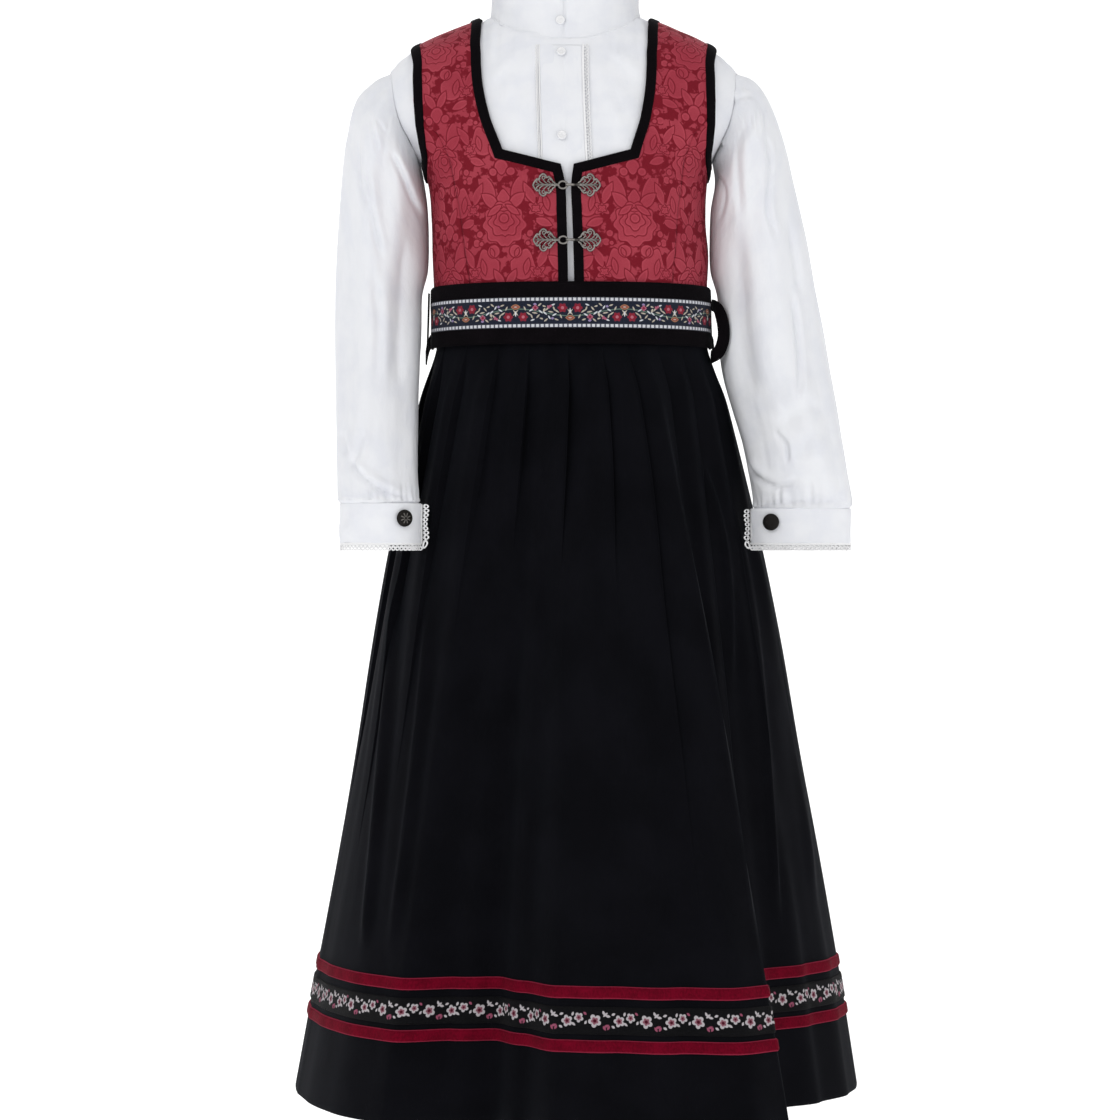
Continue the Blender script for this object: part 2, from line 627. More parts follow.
def cotton_look(name, color, weave_height=0.05):
    look = Look(name, color, rough=0.85, sheen=0.12, sheen_rough=0.5, specular=0.15)
    tone = look.noise(24.0, 4.0, seed=2.0)
    deep = tuple(part * shade for part, shade in zip(color, (0.94, 0.945, 0.965)))
    look.color(look.mix(tone.step(0.30, 0.62), deep, color))
    slub = look.noise(2.2, 2.0, 5.0, seed=7.0)
    crumple = look.noise(13.0, 3.0, seed=4.0)
    look.bump(look.weave(0.75) * weave_height + slub * 0.05 + crumple * 0.55)
    return look.made


def lace_look():
    look = Look("white_lace", (0.86, 0.86, 0.87), rough=0.9, sheen=0.2, specular=0.2)
    look.bump(look.weave(0.8) * 0.16 + look.noise(1.2, 2.0) * 0.12)
    return look.made


def jacquard_look():
    """Tone-on-tone brocade: roses, facing pairs of curled drops, small flowers and leaves, half-drop."""
    look = Look("red_jacquard", rough=0.6, sheen=0.03, sheen_rough=0.35, sheen_tint=(1.0, 0.5, 0.5),
                specular=0.14)
    wide, tall = 54.0, 104.0
    wander = look.noise(30.0, 1.0, seed=9.0) * 3.0 - 1.5
    row = (look.u / wide + 0.5).math("FLOOR")
    x = (look.u + wander).wrap(wide).abs()
    y = (look.v + row * (tall / 2) + wander * 0.6).wrap(tall)
    shapes = [
        # shape, how light it is inside
        (leaf(x, y, (14, 44), 62, 15, 5.5), 0.95),
        (leaf(x, y, (23, 38), 118, 11, 3.6), 0.9),
        (drop(x, y, (15.5, -19), -14, 10.5, 0.075), 1.0),
        (disc(x, y, (9.2, -8.2), 5.0), 1.0),
        (leaf(x, y, (10.4, -9.2), 70, 3.6, 1.5), 0.80),
        (leaf(x, y, (18.5, -21), 78, 6.5, 2.3), 0.8),
        (leaf(x, y, (5.0, -31), 60, 9, 3.3), 0.95),
        (leaf(x, y, (21.5, -37), 20, 8, 3.4), 0.95),
        (drop(x, y, (0, -43), 180, 5.5, 0.10), 1.0),
        (disc(x, y, (7.5, -47), 3.3), 0.95),
        (leaf(x, y, (11.0, 33), 40, 10, 4.4), 1.0),
        (drop(x, y, (0, 36), 0, 5.2, 0.13), 1.0),
        (flower(x, y, (0, 14), 18.5, 9, 0.07, 0.6), 1.0),
        (flower(x, y, (0, 15.5), 13.0, 7, 0.09), 0.98),
        (flower(x, y, (0, 17.0), 8.2, 5, 0.12, 1.2), 1.0),
        (disc(x, y, (0, 18.5), 3.4), 0.92),
        (leaf(x, y, (7.5, 25.5), -35, 7.0, 2.6), 0.95),
        (flower(x, y, (27.0, 26.0), 6.8, 5, 0.24), 1.0),
        (flower(x, y, (27.0, 26.0), 3.4, 5, 0.20, 0.6), 0.92),
        (flower(x, y, (27.0, -26.0), 6.8, 5, 0.24), 1.0),
        (flower(x, y, (27.0, -26.0), 3.4, 5, 0.20, 0.6), 0.92),
        (disc(x, y, (21.5, 6.0), 2.6), 0.95),
        (disc(x, y, (24.5, -1.0), 3.0), 0.95),
        (disc(x, y, (20.0, -1.8), 1.7), 0.95),
    ]
    light = look.noise(9.0, 3.0, seed=3.0).step(0.49, 0.55) * 0.80
    for inside, fill in shapes:
        within = inside.step(-0.3, 0.2)
        line = (inside + 0.55).abs().step(0.20, 0.75)
        rim = 1.0 - (inside - 0.75).abs().step(0.20, 0.85)
        light = (light + within * (fill * 0.80 - light)) * (line * 0.85 + 0.15) + within * rim * 0.28
    thready = look.noise(1.5, 2.0, 0.6, seed=8.0)
    light = light * (thready * 0.5 + 0.75)
    cloud = look.noise(40.0, 3.0, seed=1.0)
    pale = look.mix(cloud.step(0.35, 0.65), (0.335, 0.033, 0.055), (0.385, 0.046, 0.070))
    look.color(look.mix(light, (0.165, 0.004, 0.013), pale))
    look.rough(0.72 - light * 0.20)
    thread = (look.v * (2 * math.pi / 0.8)).math("SINE")
    look.bump(light * 0.30 + thread * 0.03 + look.noise(9.0, 3.0) * 0.25)
    return look.made


def velvet_look(name, color, tint, sheen, edge=None, half_width=4.8):
    look = Look(name, color, rough=0.92, sheen=sheen, sheen_rough=0.38, sheen_tint=tint, specular=0.06)
    nap = look.noise(1.6, 4.0, 1.6, seed=3.0)
    rubbed = look.noise(17.0, 2.0, seed=6.0)
    darker = tuple(part * 0.72 for part in color)
    lighter = tuple(part * 1.25 for part in color)
    colour = look.mix((nap * 0.5 + rubbed * 0.5).step(0.34, 0.66), darker, lighter)
    if edge is not None:
        pile = (look.v.abs() + nap * 0.5).step(half_width - 0.75, half_width - 0.2)
        colour = look.mix(pile, colour, edge)
    look.color(colour)
    look.bump(nap * 0.24 + look.noise(0.6, 1.0) * 0.10)
    return look.made


def wool_look():
    look = Look("black_wool", rough=0.85, sheen=0.02, sheen_rough=0.45, sheen_tint=(0.70, 0.78, 1.0),
                specular=0.05)
    cloud = look.noise(60.0, 4.0, seed=2.0)
    look.color(look.mix(cloud.step(0.3, 0.7), (0.0018, 0.0019, 0.0030), (0.0031, 0.0032, 0.0049)))
    twill = ((look.u + look.v) * (2 * math.pi / 1.1)).math("SINE")
    look.bump(twill * 0.04 + look.noise(0.8, 3.0) * 0.10 + look.noise(22.0, 3.0) * 0.5)
    return look.made


def belt_ribbon_look():
    """Woven ribbon, 26 mm wide: pairs of red flowers, turned over at each half repeat."""
    look = Look("woven_ribbon", rough=0.75, sheen=0.04, specular=0.15)
    half = 44.6
    row = (look.u / half + 0.5).math("FLOOR")
    flip = row.math("MODULO", 2.0).abs() * -2.0 + 1.0
    x = look.u.wrap(half)
    y = look.v * flip
    near = x.abs()
    cream, white, pink, red = (0.46, 0.41, 0.34), (0.60, 0.61, 0.65), (0.36, 0.10, 0.16), (0.20, 0.016, 0.034)
    green, ochre, lilac = (0.10, 0.16, 0.13), (0.33, 0.17, 0.09), (0.27, 0.21, 0.38)
    colour = look.mix(look.noise(1.2, 1.0).step(0.3, 0.7), (0.006, 0.009, 0.020), (0.011, 0.015, 0.031))
    wave = ((look.u * (math.pi / half)).math("COSINE")) * -3.0
    colour = look.paint(colour, 0.42 - (look.v - wave).abs(), green)
    for place, turn, size, tint in (
            ((0, 0.2), 48, 3.4, cream), ((0, 0.2), -48, 3.4, cream), ((0, 1.2), 90, 2.4, white),
            ((10.8, 1.0), 35, 2.4, cream), ((12.8, -2.0), -30, 2.1, white), ((13.2, 3.2), 70, 2.0, cream),
            ((15.8, 0.4), 10, 2.4, cream), ((17.0, -4.2), 60, 1.9, white), ((18.4, 3.2), -50, 2.2, cream),
            ((20.6, -0.6), 40, 2.3, white), ((21.4, 5.2), 15, 1.9, cream), ((11.2, -6.0), 20, 1.9, cream),
            ((14.0, 6.3), -20, 1.9, white), ((19.8, -6.4), -40, 2.0, cream), ((7.6, -3.4), 65, 2.0, cream)):
        colour = look.paint(colour, leaf(near, y, place, turn, size, 0.62), tint)
    for place, turn, size, tint in (
            ((-16.0, 5.2), 30, 1.6, pink), ((-17.6, 4.4), -60, 1.6, pink), ((-14.4, -5.0), 0, 1.3, lilac),
            ((-21.0, 2.0), 70, 1.8, cream), ((16.0, -6.8), 10, 1.5, lilac)):
        colour = look.paint(colour, leaf(x, y, place, turn, size, 1.0), tint)
    colour = look.paint(colour, flower(x, y, (16.2, -3.9), 2.5, 4, 0.15), pink)
    colour = look.paint(colour, disc(x, y, (16.2, -3.9), 1.1), red)
    oval = leaf(near, y, (0, -4.6), 0, 4.0, 2.2)
    colour = look.paint(colour, oval, ochre)
    colour = look.paint(colour, oval - 0.75, (0.26, 0.06, 0.05))
    colour = look.paint(colour, leaf(near, y, (0, -4.6), 0, 1.6, 0.5), cream)
    bloom = flower(near, y, (6.2, 3.7), 4.1, 6, 0.12)
    colour = look.paint(colour, bloom, red)
    colour = look.paint(colour, 0.28 - (bloom - 1.5).abs(), (0.25, 0.008, 0.02))
    colour = look.paint(colour, disc(near, y, (6.2, 3.7), 1.3), (0.42, 0.13, 0.17))
    edge = look.v.abs()
    colour = look.paint(colour, edge - 9.1, (0.006, 0.009, 0.020))
    block = 1.22 - (look.u.wrap(3.8)).abs()
    rail = 1.45 - (edge - 11.0).abs()
    colour = look.paint(colour, rail, (0.085, 0.088, 0.115))
    colour = look.paint(colour, (rail - 0.25).math("MINIMUM", block), white)
    colour = look.paint(colour, edge - 12.4, (0.014, 0.015, 0.022))
    look.color(colour)
    thread = (look.u * (2 * math.pi / 0.7)).math("SINE")
    sewn = bloom.step(-0.3, 0.6) * 0.25 + rail.step(-0.2, 0.3) * 0.2
    look.bump(thread * 0.07 + sewn + look.noise(0.7, 2.0) * 0.16)
    return look.made


def flower_ribbon_look():
    """Woven ribbon, 21 mm wide: a white and pink flower vine on black, repeated every 41.5 mm."""
    look = Look("flower_ribbon", rough=0.8, sheen=0.02, specular=0.08)
    x = look.u.wrap(41.5)
    y = look.v
    white, blush = (0.44, 0.41, 0.43), (0.24, 0.10, 0.13)
    pink, wine = (0.27, 0.07, 0.12), (0.06, 0.004, 0.012)
    colour = look.mix(look.noise(1.5, 1.0).step(0.3, 0.7), (0.0020, 0.0020, 0.0026), (0.0040, 0.0040, 0.0050))
    for place, turn, size, tint in (((-6.2, 4.6), 40, 2.4, white), ((-7.6, 6.0), 110, 1.8, white),
                                    ((-4.2, 3.4), -10, 2.0, white), ((-5.6, -4.0), 20, 2.4, pink),
                                    ((-4.0, -5.4), 60, 1.9, pink), ((-7.2, -5.6), 120, 2.0, pink),
                                    ((10.0, -2.6), -35, 2.0, white), ((20.0, -1.2), 55, 1.7, white),
                                    ((9.4, 5.0), 70, 1.7, white), ((19.4, 5.6), -40, 1.6, pink),
                                    ((0.2, 4.8), 20, 1.7, white), ((-0.2, -4.8), -30, 1.6, white)):
        colour = look.paint(colour, leaf(x, y, place, turn, size, 0.95), tint)
    blooms = (
        # place, radius, turn, petal, petal base, centre radius
        ((-14.5, 0.0), 5.2, 0.5, white, blush, 1.3),
        ((4.8, -0.4), 4.6, -0.6, white, blush, 1.1),
        ((14.4, 2.4), 3.9, 0.4, white, blush, 0.8),
    )
    raised = None
    for place, radius, turn, tip, base, middle in blooms:
        shape = petals(x, y, place, radius, 5, turn)
        colour = look.paint(colour, shape, tip)
        colour = look.paint(colour, disc(x, y, place, radius * 0.44), base, 0.7)
        colour = look.paint(colour, petals(x, y, place, radius * 0.62, 5, turn) - 0.25, (0.22, 0.08, 0.11),
                            0.3)
        colour = look.paint(colour, disc(x, y, place, middle), wine)
        raised = shape if raised is None else raised.math("MAXIMUM", shape)
    look.color(colour)
    thread = (look.u * (2 * math.pi / 0.7)).math("SINE")
    look.bump(raised.step(-0.3, 0.5) * 0.3 + thread * 0.06 + look.noise(0.8, 2.0) * 0.15)
    return look.made


def pewter_look():
    look = Look("old_pewter", rough=0.42, metal=1.0)
    raised = look.attribute("raised")
    stain = look.noise(2.5, 3.0, seed=5.0)
    worn = (raised + stain * 0.5 - 0.25).step(0.42, 1.0)
    look.color(look.mix(worn, (0.022, 0.020, 0.019), (0.27, 0.255, 0.24)))
    look.rough(0.60 - worn * 0.24)
    look.bump(look.noise(0.9, 2.0) * 0.10)
    return look.made


def pearl_look():
    look = Look("pearl", (0.80, 0.80, 0.80), rough=0.22, specular=0.5, coat=0.5)
    sheen = look.noise(3.0, 2.0, seed=2.0)
    look.color(look.mix(sheen.step(0.3, 0.7), (0.72, 0.73, 0.76), (0.86, 0.85, 0.84)))
    return look.made


LOOKS = {
    "white_cotton": cotton_look("white_cotton", (0.80, 0.81, 0.84)),
    "white_lace": lace_look(),
    "red_jacquard": jacquard_look(),
    "black_velvet": velvet_look("black_velvet", (0.0024, 0.0016, 0.0024), (0.8, 0.8, 0.9), 0.03),
    "woven_ribbon": belt_ribbon_look(),
    "black_wool": wool_look(),
    "red_velvet": velvet_look("red_velvet", (0.118, 0.0008, 0.010), (1.0, 0.4, 0.45), 0.04,
                              edge=(0.24, 0.016, 0.040)),
    "flower_ribbon": flower_ribbon_look(),
    "pearl": pearl_look(),
    "old_pewter": pewter_look(),
}


# Pieces

def add_piece(name, points, faces, look, nodes=(), uvs=None, raised=None):
    """Mesh object that rides on the body and stands for the named nodes."""
    mesh = bpy.data.meshes.new(name)
    if isinstance(faces, np.ndarray):
        faces = faces.tolist()
    mesh.from_pydata(points.reshape(-1, 3).tolist(), [], faces)
    mesh.polygons.foreach_set("use_smooth", [True] * len(mesh.polygons))
    layer = mesh.uv_layers.new(name="cloth")
    if uvs is not None:
        layer.data.foreach_set("uv", np.asarray(uvs, np.float32).ravel())
    if raised is not None:
        attribute = mesh.attributes.new("raised", "FLOAT", "POINT")
        attribute.data.foreach_set("value", np.asarray(raised, np.float32).ravel())
    mesh.materials.append(LOOKS[look])
    mesh.update()
    piece = bpy.data.objects.new(name, mesh)
    bpy.context.scene.collection.objects.link(piece)
    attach(piece, "root")
    if nodes:
        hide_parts(*nodes)
    return piece


def grid_faces(rows, cols, ring=False):
    """Quads of a grid, and the places of their corners in a grid with one column more for a ring."""
    spans = cols if ring else cols - 1
    i, j = np.meshgrid(np.arange(rows - 1), np.arange(spans), indexing="ij")
    i, j = i.ravel(), j.ravel()
    ahead = (j + 1) % cols
    faces = np.stack([i * cols + j, i * cols + ahead, (i + 1) * cols + ahead, (i + 1) * cols + j], -1)
    wide = cols + 1 if ring else cols
    corners = np.stack([i * wide + j, i * wide + j + 1, (i + 1) * wide + j + 1, (i + 1) * wide + j], -1)
    return faces, corners


def outward(points, ring=False):
    """Unit normals of a grid of points."""
    along = np.gradient(points, axis=1)
    if ring:
        along = np.roll(points, -1, 1) - np.roll(points, 1, 1)
    up = np.gradient(points, axis=0)
    return unit(np.cross(along, up))


def grid(name, points, uv, look, nodes=(), ring=False, thick=0.0, flip=False, raised=None):
    """Cloth from a grid of points. With `thick`, a closed wall with its inside `thick` mm in."""
    rows, cols = points.shape[:2]
    faces, corners = grid_faces(rows, cols, ring)
    uv = uv.reshape(-1, 2)
    if not thick:
        if flip:
            faces, corners = faces[:, ::-1], corners[:, ::-1]
        return add_piece(name, points, faces, look, nodes, uv[corners.ravel()], raised)
    normal = outward(points, ring) * (-1.0 if flip else 1.0)
    inside = points - normal * thick * MM
    total = rows * cols
    every = [faces, faces[:, ::-1] + total]
    where = [corners, corners[:, ::-1]]
    wide = cols + 1 if ring else cols

    def rim(first, second, place_a, place_b):
        every.append(np.stack([second, first, first + total, second + total], -1))
        where.append(np.stack([place_b, place_a, place_a, place_b], -1))

    spans = np.arange(cols if ring else cols - 1)
    ahead = (spans + 1) % cols
    last = (rows - 1) * cols
    rim(spans, ahead, spans, spans + 1)
    rim(last + ahead, last + spans, (rows - 1) * wide + spans + 1, (rows - 1) * wide + spans)
    if not ring:
        down = np.arange(rows - 1)
        rim((down + 1) * cols, down * cols, (down + 1) * wide, down * wide)
        rim(down * cols + cols - 1, (down + 1) * cols + cols - 1, down * wide + wide - 1,
            (down + 1) * wide + wide - 1)
    faces, corners = np.concatenate(every), np.concatenate(where)
    if flip:
        faces, corners = faces[:, ::-1], corners[:, ::-1]
    if raised is not None:
        raised = np.concatenate([raised.ravel(), raised.ravel()])
    both = np.concatenate([points.reshape(-1, 3), inside.reshape(-1, 3)])
    return add_piece(name, both, faces, look, nodes, uv[corners.ravel()], raised)


def run_length(points, axis):
    """Length in mm along the rows or columns of a grid of points."""
    steps = np.linalg.norm(np.diff(points, axis=axis), axis=-1) / MM
    pad = [(0, 0), (0, 0)]
    pad[axis] = (1, 0)
    return np.pad(np.cumsum(steps, axis=axis), pad)


TORSO_TURNS = np.linspace(-180, 180, 181)
TORSO_LEVELS = np.linspace(-330, 34, 183)
TORSO_NET = torso(TORSO_TURNS[None, :], TORSO_LEVELS[:, None])
AROUND = run_length(TORSO_NET, 1)
AROUND = AROUND - AROUND[:, 90:91]
UPWARD = run_length(TORSO_NET, 0)


def torso_uv(angle, level):
    """Cloth coordinates in mm on the torso: round from the centre front, and up from the hip."""
    angle = (angle + 180.0) % 360.0
    i = np.clip((level + 330.0) / 2.0, 0, 181.999)
    j = np.clip(angle / 2.0, 0, 179.999)
    i0, j0 = i.astype(int), j.astype(int)
    fi, fj = i - i0, j - j0
    found = []
    for table in (AROUND, UPWARD):
        low = table[i0, j0] * (1 - fj) + table[i0, j0 + 1] * fj
        high = table[i0 + 1, j0] * (1 - fj) + table[i0 + 1, j0 + 1] * fj
        found.append(low * (1 - fi) + high * fi)
    return np.stack(found, -1)


def between(edge_a, edge_b, parts, cols, corners=()):
    """Angles and levels of a grid between two edges that have the same number of points."""
    fine_a, fine_b = refine(edge_a, parts, corners), refine(edge_b, parts, corners)
    share = np.linspace(0.0, 1.0, cols + 1)[None, :, None]
    both = fine_a[:, None, :] * (1.0 - share) + fine_b[:, None, :] * share
    return both[..., 0], both[..., 1]


# Shirt

def shirt_relief(angle, level, back):
    """Creases of the shirt body in mm, on cloth coordinates in mm."""
    where = torso_uv(angle, level)
    u, v = where[..., 0], where[..., 1] - 330.0
    height = lattice(u / 34.0, v / 46.0, 21) * 0.9 + lattice(u / 13.0, v / 19.0, 22) * 0.25
    if back:
        for side in (-1, 1):
            height = height + crease(u, v, (side * 150, -40), (side * 176, -145), 6.0, 1.2)
        return height
    # Soft folds from the collar and towards the armholes; a sharper one beside the placket.
    for start, end, width, tall in (
            ((20, -12), (47, -82), 4.5, 1.6), ((26, -14), (60, -70), 7.0, 1.3),
            ((-26, -10), (-58, -66), 6.5, 1.2),
            ((-34, -4), (-66, -40), 5.5, 1.3), ((38, -2), (70, -38), 6.0, 1.4),
            ((-30, -40), (-50, -104), 7.0, 1.0),
            ((34, -50), (52, -108), 6.0, 1.0), ((84, -60), (110, -84), 5.0, 1.3),
            ((-84, -58), (-112, -84), 5.0, 1.3)):
        height = height + crease(u, v, start, end, width, tall)
    # Gathers below the collar.
    drop_in = ease(v, -34.0, -6.0)
    gather = np.sin(u / 2.1 + 1.5 * np.sin(u / 9.0)) * 0.45 * drop_in * ease(np.abs(u), 22.0, 34.0)
    return height + gather


def shirt_half(back):
    centre = 180.0 if back else 0.0
    seam = SEAM_BACK if back else SEAM_FRONT
    neck = [(angle, level) for _, angle, level in NECK]
    neck = neck[:5:-1] if back else neck[:7]
    levels = (-94, -81, -68, -55, -42, -28, -14, 2) if back else (-92, -76, -60, -44, -30, -16)
    inner = [(centre, z) for z in (-330, -230, -190, -150, -126, -108) + levels]
    inner += [(centre, neck[0][1])] + neck[1:-1] + [(90.0, neck[-1][1])]
    outer = [(90.0, z) for z in (-330, -230, -190, -150, -130, -114, seam[12][1])]
    outer += list(seam[11:0:-1]) + [(90.0, seam[0][1])]
    u, v = between(inner, outer, 5, 56, corners=(len(levels) + 6,))
    return u, v


for word, back in (("front", False), ("back", True)):
    u, v = shirt_half(back)
    if back:
        u, v = np.concatenate([u[:, ::-1], 360.0 - u[:, 1:]], 1), np.concatenate([v[:, ::-1], v[:, 1:]], 1)
    else:
        u, v = np.concatenate([-u[:, :0:-1], u], 1), np.concatenate([v[:, :0:-1], v], 1)
    signed = (u + 180.0) % 360.0 - 180.0
    flat = shirt(u, v)
    points = flat + outward(flat) * (shirt_relief(signed, v, back) * MM)[..., None]
    grid("shirt_" + word + "_cloth", points, torso_uv(u, v), "white_cotton",
         (f"shirt_{word}_left", f"shirt_{word}_right"), thick=0.8)


# Collar: a standing band, gathered shirt below it, split at the front and closed by a button

turns = np.linspace(0, 360, 241)[:-1]
heights = np.concatenate([np.linspace(0.0, 0.12, 5), np.linspace(0.17, 0.93, 14), [0.96, 0.98, 0.995, 1.0]])
u, v = np.meshgrid(turns, heights)
points = collar(u, v)
normal = unit(points * np.array([1.0, 1.0, 0.0]))
folded = (u + 180.0) % 360.0 - 180.0
relief = lattice(u / 17.0, v * 2.2, 31) * 0.7 + np.sin(u * 0.61 + v) * 0.18 * ease(v, 0.5, 0.1)
relief = relief - 0.9 * np.exp(-((v - 0.06) / 0.03) ** 2)
slit = np.exp(-((folded + 1.2) / 0.9) ** 2) * ease(v, 0.15, 0.3)
relief = relief - 1.5 * slit
relief = relief + 0.9 * ease(folded, -1.0, -0.4) * (1 - ease(folded, 4.0, 12.0)) * ease(v, 0.1, 0.3)
relief = relief - 0.35 * ease(v, 0.96, 1.0)
points = points + normal * (relief * MM)[..., None]
round_way = np.concatenate([u, u[:, :1] + 360.0], 1) * 1.02
grid("collar_cloth", points, np.stack([round_way, np.concatenate([v, v[:, :1]], 1) * 38.0], -1),
     "white_cotton",
     ("collar",), ring=True, thick=1.5)

# Placket with a tuck on each side and lace along it



def on_shirt(x, level, lift):
    """Points over the shirt's front at a distance from the centre, in mm."""
    return lifted(shirt, torso_angle(x, level), level, lift * MM)


levels = np.linspace(-230, -9, 150)
across = np.concatenate([[0.0, 0.012, 0.03], np.linspace(0.07, 0.93, 22), [0.97, 0.988, 1.0]])
x = -21.0 + 37.5 * across[None, :] + lattice(levels[:, None] / 24.0, 0 * across[None, :], 41) * 0.5
z = levels[:, None] + 0 * across[None, :]
edge = np.minimum(across, 1 - across)[None, :] * 37.5
lift = 0.10 + 0.32 * ease(edge, 0.0, 2.2) - 0.16 * np.exp(-((edge - 2.8) / 0.5) ** 2)
lift = lift + lattice(x / 12.0, z / 26.0, 42) * 0.35 - 0.5 * np.exp(-((x + 0.5) / 0.7) ** 2)
grid("placket_cloth", on_shirt(x, z, lift), np.stack([x, z], -1), "white_cotton", ("placket",), thick=0.3)


def scallop_lace(name, place, length, width, pitch, nodes, holes=True):
    """Flat lace edging: a header, an open row of bars and a scalloped edge with small loops.

    place(along, across, lift) gives points, with along and across in mm.
    """
    points = []
    faces = []
    uvs = []

    def ribbon(path, wide, thick=0.45, closed=False):
        """Thread along a path of (along, across), with a raised middle."""
        path = np.asarray(path, float)
        run = np.gradient(path, axis=0)
        if closed:
            run = np.roll(path, -1, 0) - np.roll(path, 1, 0)
        side = np.stack([-run[:, 1], run[:, 0]], -1)
        side = side / np.maximum(np.linalg.norm(side, axis=1, keepdims=True), 1e-9) * wide / 2
        start = sum(len(part) for part in points)
        rings = ((path + side, 0.1), (path + side * 0.6, thick), (path - side * 0.6, thick),
                 (path - side, 0.1),
                 (path, -0.15))
        for row, lift in rings:
            points.append(place(row[:, 0], row[:, 1], lift))
        count = len(path)
        for k in range(5):
            for i in range(count if closed else count - 1):
                j = (i + 1) % count
                faces.append((start + k * count + i, start + k * count + j,
                              start + (k + 1) % 5 * count + j, start + (k + 1) % 5 * count + i))
                uvs.extend([path[i], path[j], path[j], path[i]])
        if not closed:
            for end, order in ((0, (0, 1, 2, 3, 4)), (count - 1, (4, 3, 2, 1, 0))):
                faces.append(tuple(start + k * count + end for k in order))
                uvs.extend([path[end]] * 5)

    count = int(length / pitch)
    pitch = length / count
    steps = np.linspace(0.0, length, count * 4 + 1)
    ribbon(np.stack([steps, np.full_like(steps, width * 0.16)], -1), width * 0.34, 0.5)
    for k in range(count):
        middle = (k + 0.5) * pitch
        angle = np.radians(np.linspace(-160, 160, 13)) if holes else np.radians(np.linspace(-110, 110, 9))
        radius = pitch * 0.40
        loop = np.stack([middle + radius * np.sin(angle), width - radius - 0.25 + radius * np.cos(angle)], -1)
        ribbon(loop, 0.95 if holes else 1.1, 0.5)
        base = [(middle - pitch * 0.14, width * 0.28), (middle, width * 0.52),
                (middle + pitch * 0.14, width * 0.28)]
        if holes:
            ribbon(base, 0.8, 0.4)
    steps = np.linspace(0.0, length, count * 8 + 1)
    wave = width * 0.62 + 0.45 * np.cos(steps / pitch * 2 * math.pi)
    ribbon(np.stack([steps, wave], -1), 0.9, 0.5)
    return add_piece(name, np.concatenate(points), faces, "white_lace", nodes, np.asarray(uvs, float))


def placket_lace(edge, way, stand):
    def place(along, across, lift):
        return on_shirt(edge + way * across, -230.0 + along, 0.55 + lift + stand * across)
    return place


scallop_lace("placket_lace_right_trim", placket_lace(15.6, 1, 0.25), 221.0, 5.4, 2.9, ("placket_lace_right",))
scallop_lace("placket_lace_left_trim", placket_lace(-20.2, -1, 0.02), 221.0, 3.6, 2.9,
             ("placket_lace_left",), holes=False)

# Vest: panels run under their velvet edges


def front_path(rows):
    return [(float(torso_angle(distance, level)), level) for distance, level in rows]


OPENING = front_path(FRONT_EDGE) + [(90.0, 18.2)]
ARM_RING = ARM_FRONT[:-1] + ARM_BACK[::-1][:-1]


def vest_relief(angle, level):
    """Slight pulls and hollows of the bodice, in mm."""
    where = torso_uv(angle, level)
    u, v = where[..., 0], where[..., 1] - 330.0
    height = lattice(u / 42.0, v / 30.0, 51) * 0.55 + lattice(u / 12.0, v / 16.0, 52) * 0.16
    for side in (-1, 1):
        for start, end, width, tall in (
                ((side * 116, -190), (side * 96, -206), 3.0, -0.7),
                ((side * 118, -222), (side * 98, -212), 2.6, -0.7),
                ((side * 60, -225), (side * 30, -212), 5.0, 0.6),
                ((side * 112, -120), (side * 84, -140), 5.0, 0.8)):
            height = height + crease(u, v, start, end, width, tall)
    return height


def vest_panel(name, u, v, seam_columns, flip=False):
    """Panel with its outside VEST_OUT from the shirt, rolled in at the seam columns."""
    points = torso(u, v)
    width = run_length(points, 1)
    lift = VEST_OUT / MM + vest_relief((u + 180.0) % 360.0 - 180.0, v)
    for column_at in seam_columns:
        off = np.abs(width - width[:, column_at:column_at + 1])
        lift = lift - 0.75 * np.exp(-(off / 1.1) ** 2) + 0.22 * np.exp(-((off - 3.4) / 1.3) ** 2)
    points = lifted(torso, u, v, lift * MM)
    grid(name + "_cloth", points, torso_uv(u, v), "red_jacquard", (name,), thick=1.1, flip=flip)


def side_grid(u, v, side):
    """The same grid for either side, with its columns running the same way round."""
    return (u, v) if side > 0 else (-u[:, ::-1], v[:, ::-1])


for side, word in ((-1, "left"), (1, "right")):
    princess = front_path(PRINCESS)
    top = ARM_FRONT[8]
    last = princess[-1]
    outer = princess + [top] + ARM_FRONT[7::-1]
    u, v = between(OPENING, outer, 6, 44, corners=FRONT_CORNERS)
    edge_column = u.shape[1] - 1
    u, v = side_grid(u, v, side)
    vest_panel("vest_front_" + word, u, v, (edge_column,) if side > 0 else (0,))

    inner = princess + [(last[0] + (top[0] - last[0]) * 0.6, last[1] + (top[1] - last[1]) * 0.6)]
    outer = [(90.0, z) for z in (-232, -208, -180, -155, -136)] + ARM_FRONT[12:8:-1]
    u, v = between(inner, outer, 6, 20)
    edge_column = u.shape[1] - 1
    u, v = side_grid(u, v, side)
    vest_panel("vest_side_" + word, u, v, (0, edge_column))

    inner = [(180.0, z) for z in (-232, -208, -180, -150, -126, -110, -95, -80, -66, -53)] + BACK_NECK[::-1]
    outer = [(90.0, z) for z in (-232, -208, -180, -150)] + [(90.0, -117.0)] + ARM_BACK[::-1]
    u, v = between(inner, outer, 5, 56, corners=(10,))
    edge_column = u.shape[1] - 1
    u, v = (u[:, ::-1], v[:, ::-1]) if side > 0 else (-u, v)
    vest_panel("vest_back_" + word, u, v, (0, edge_column))


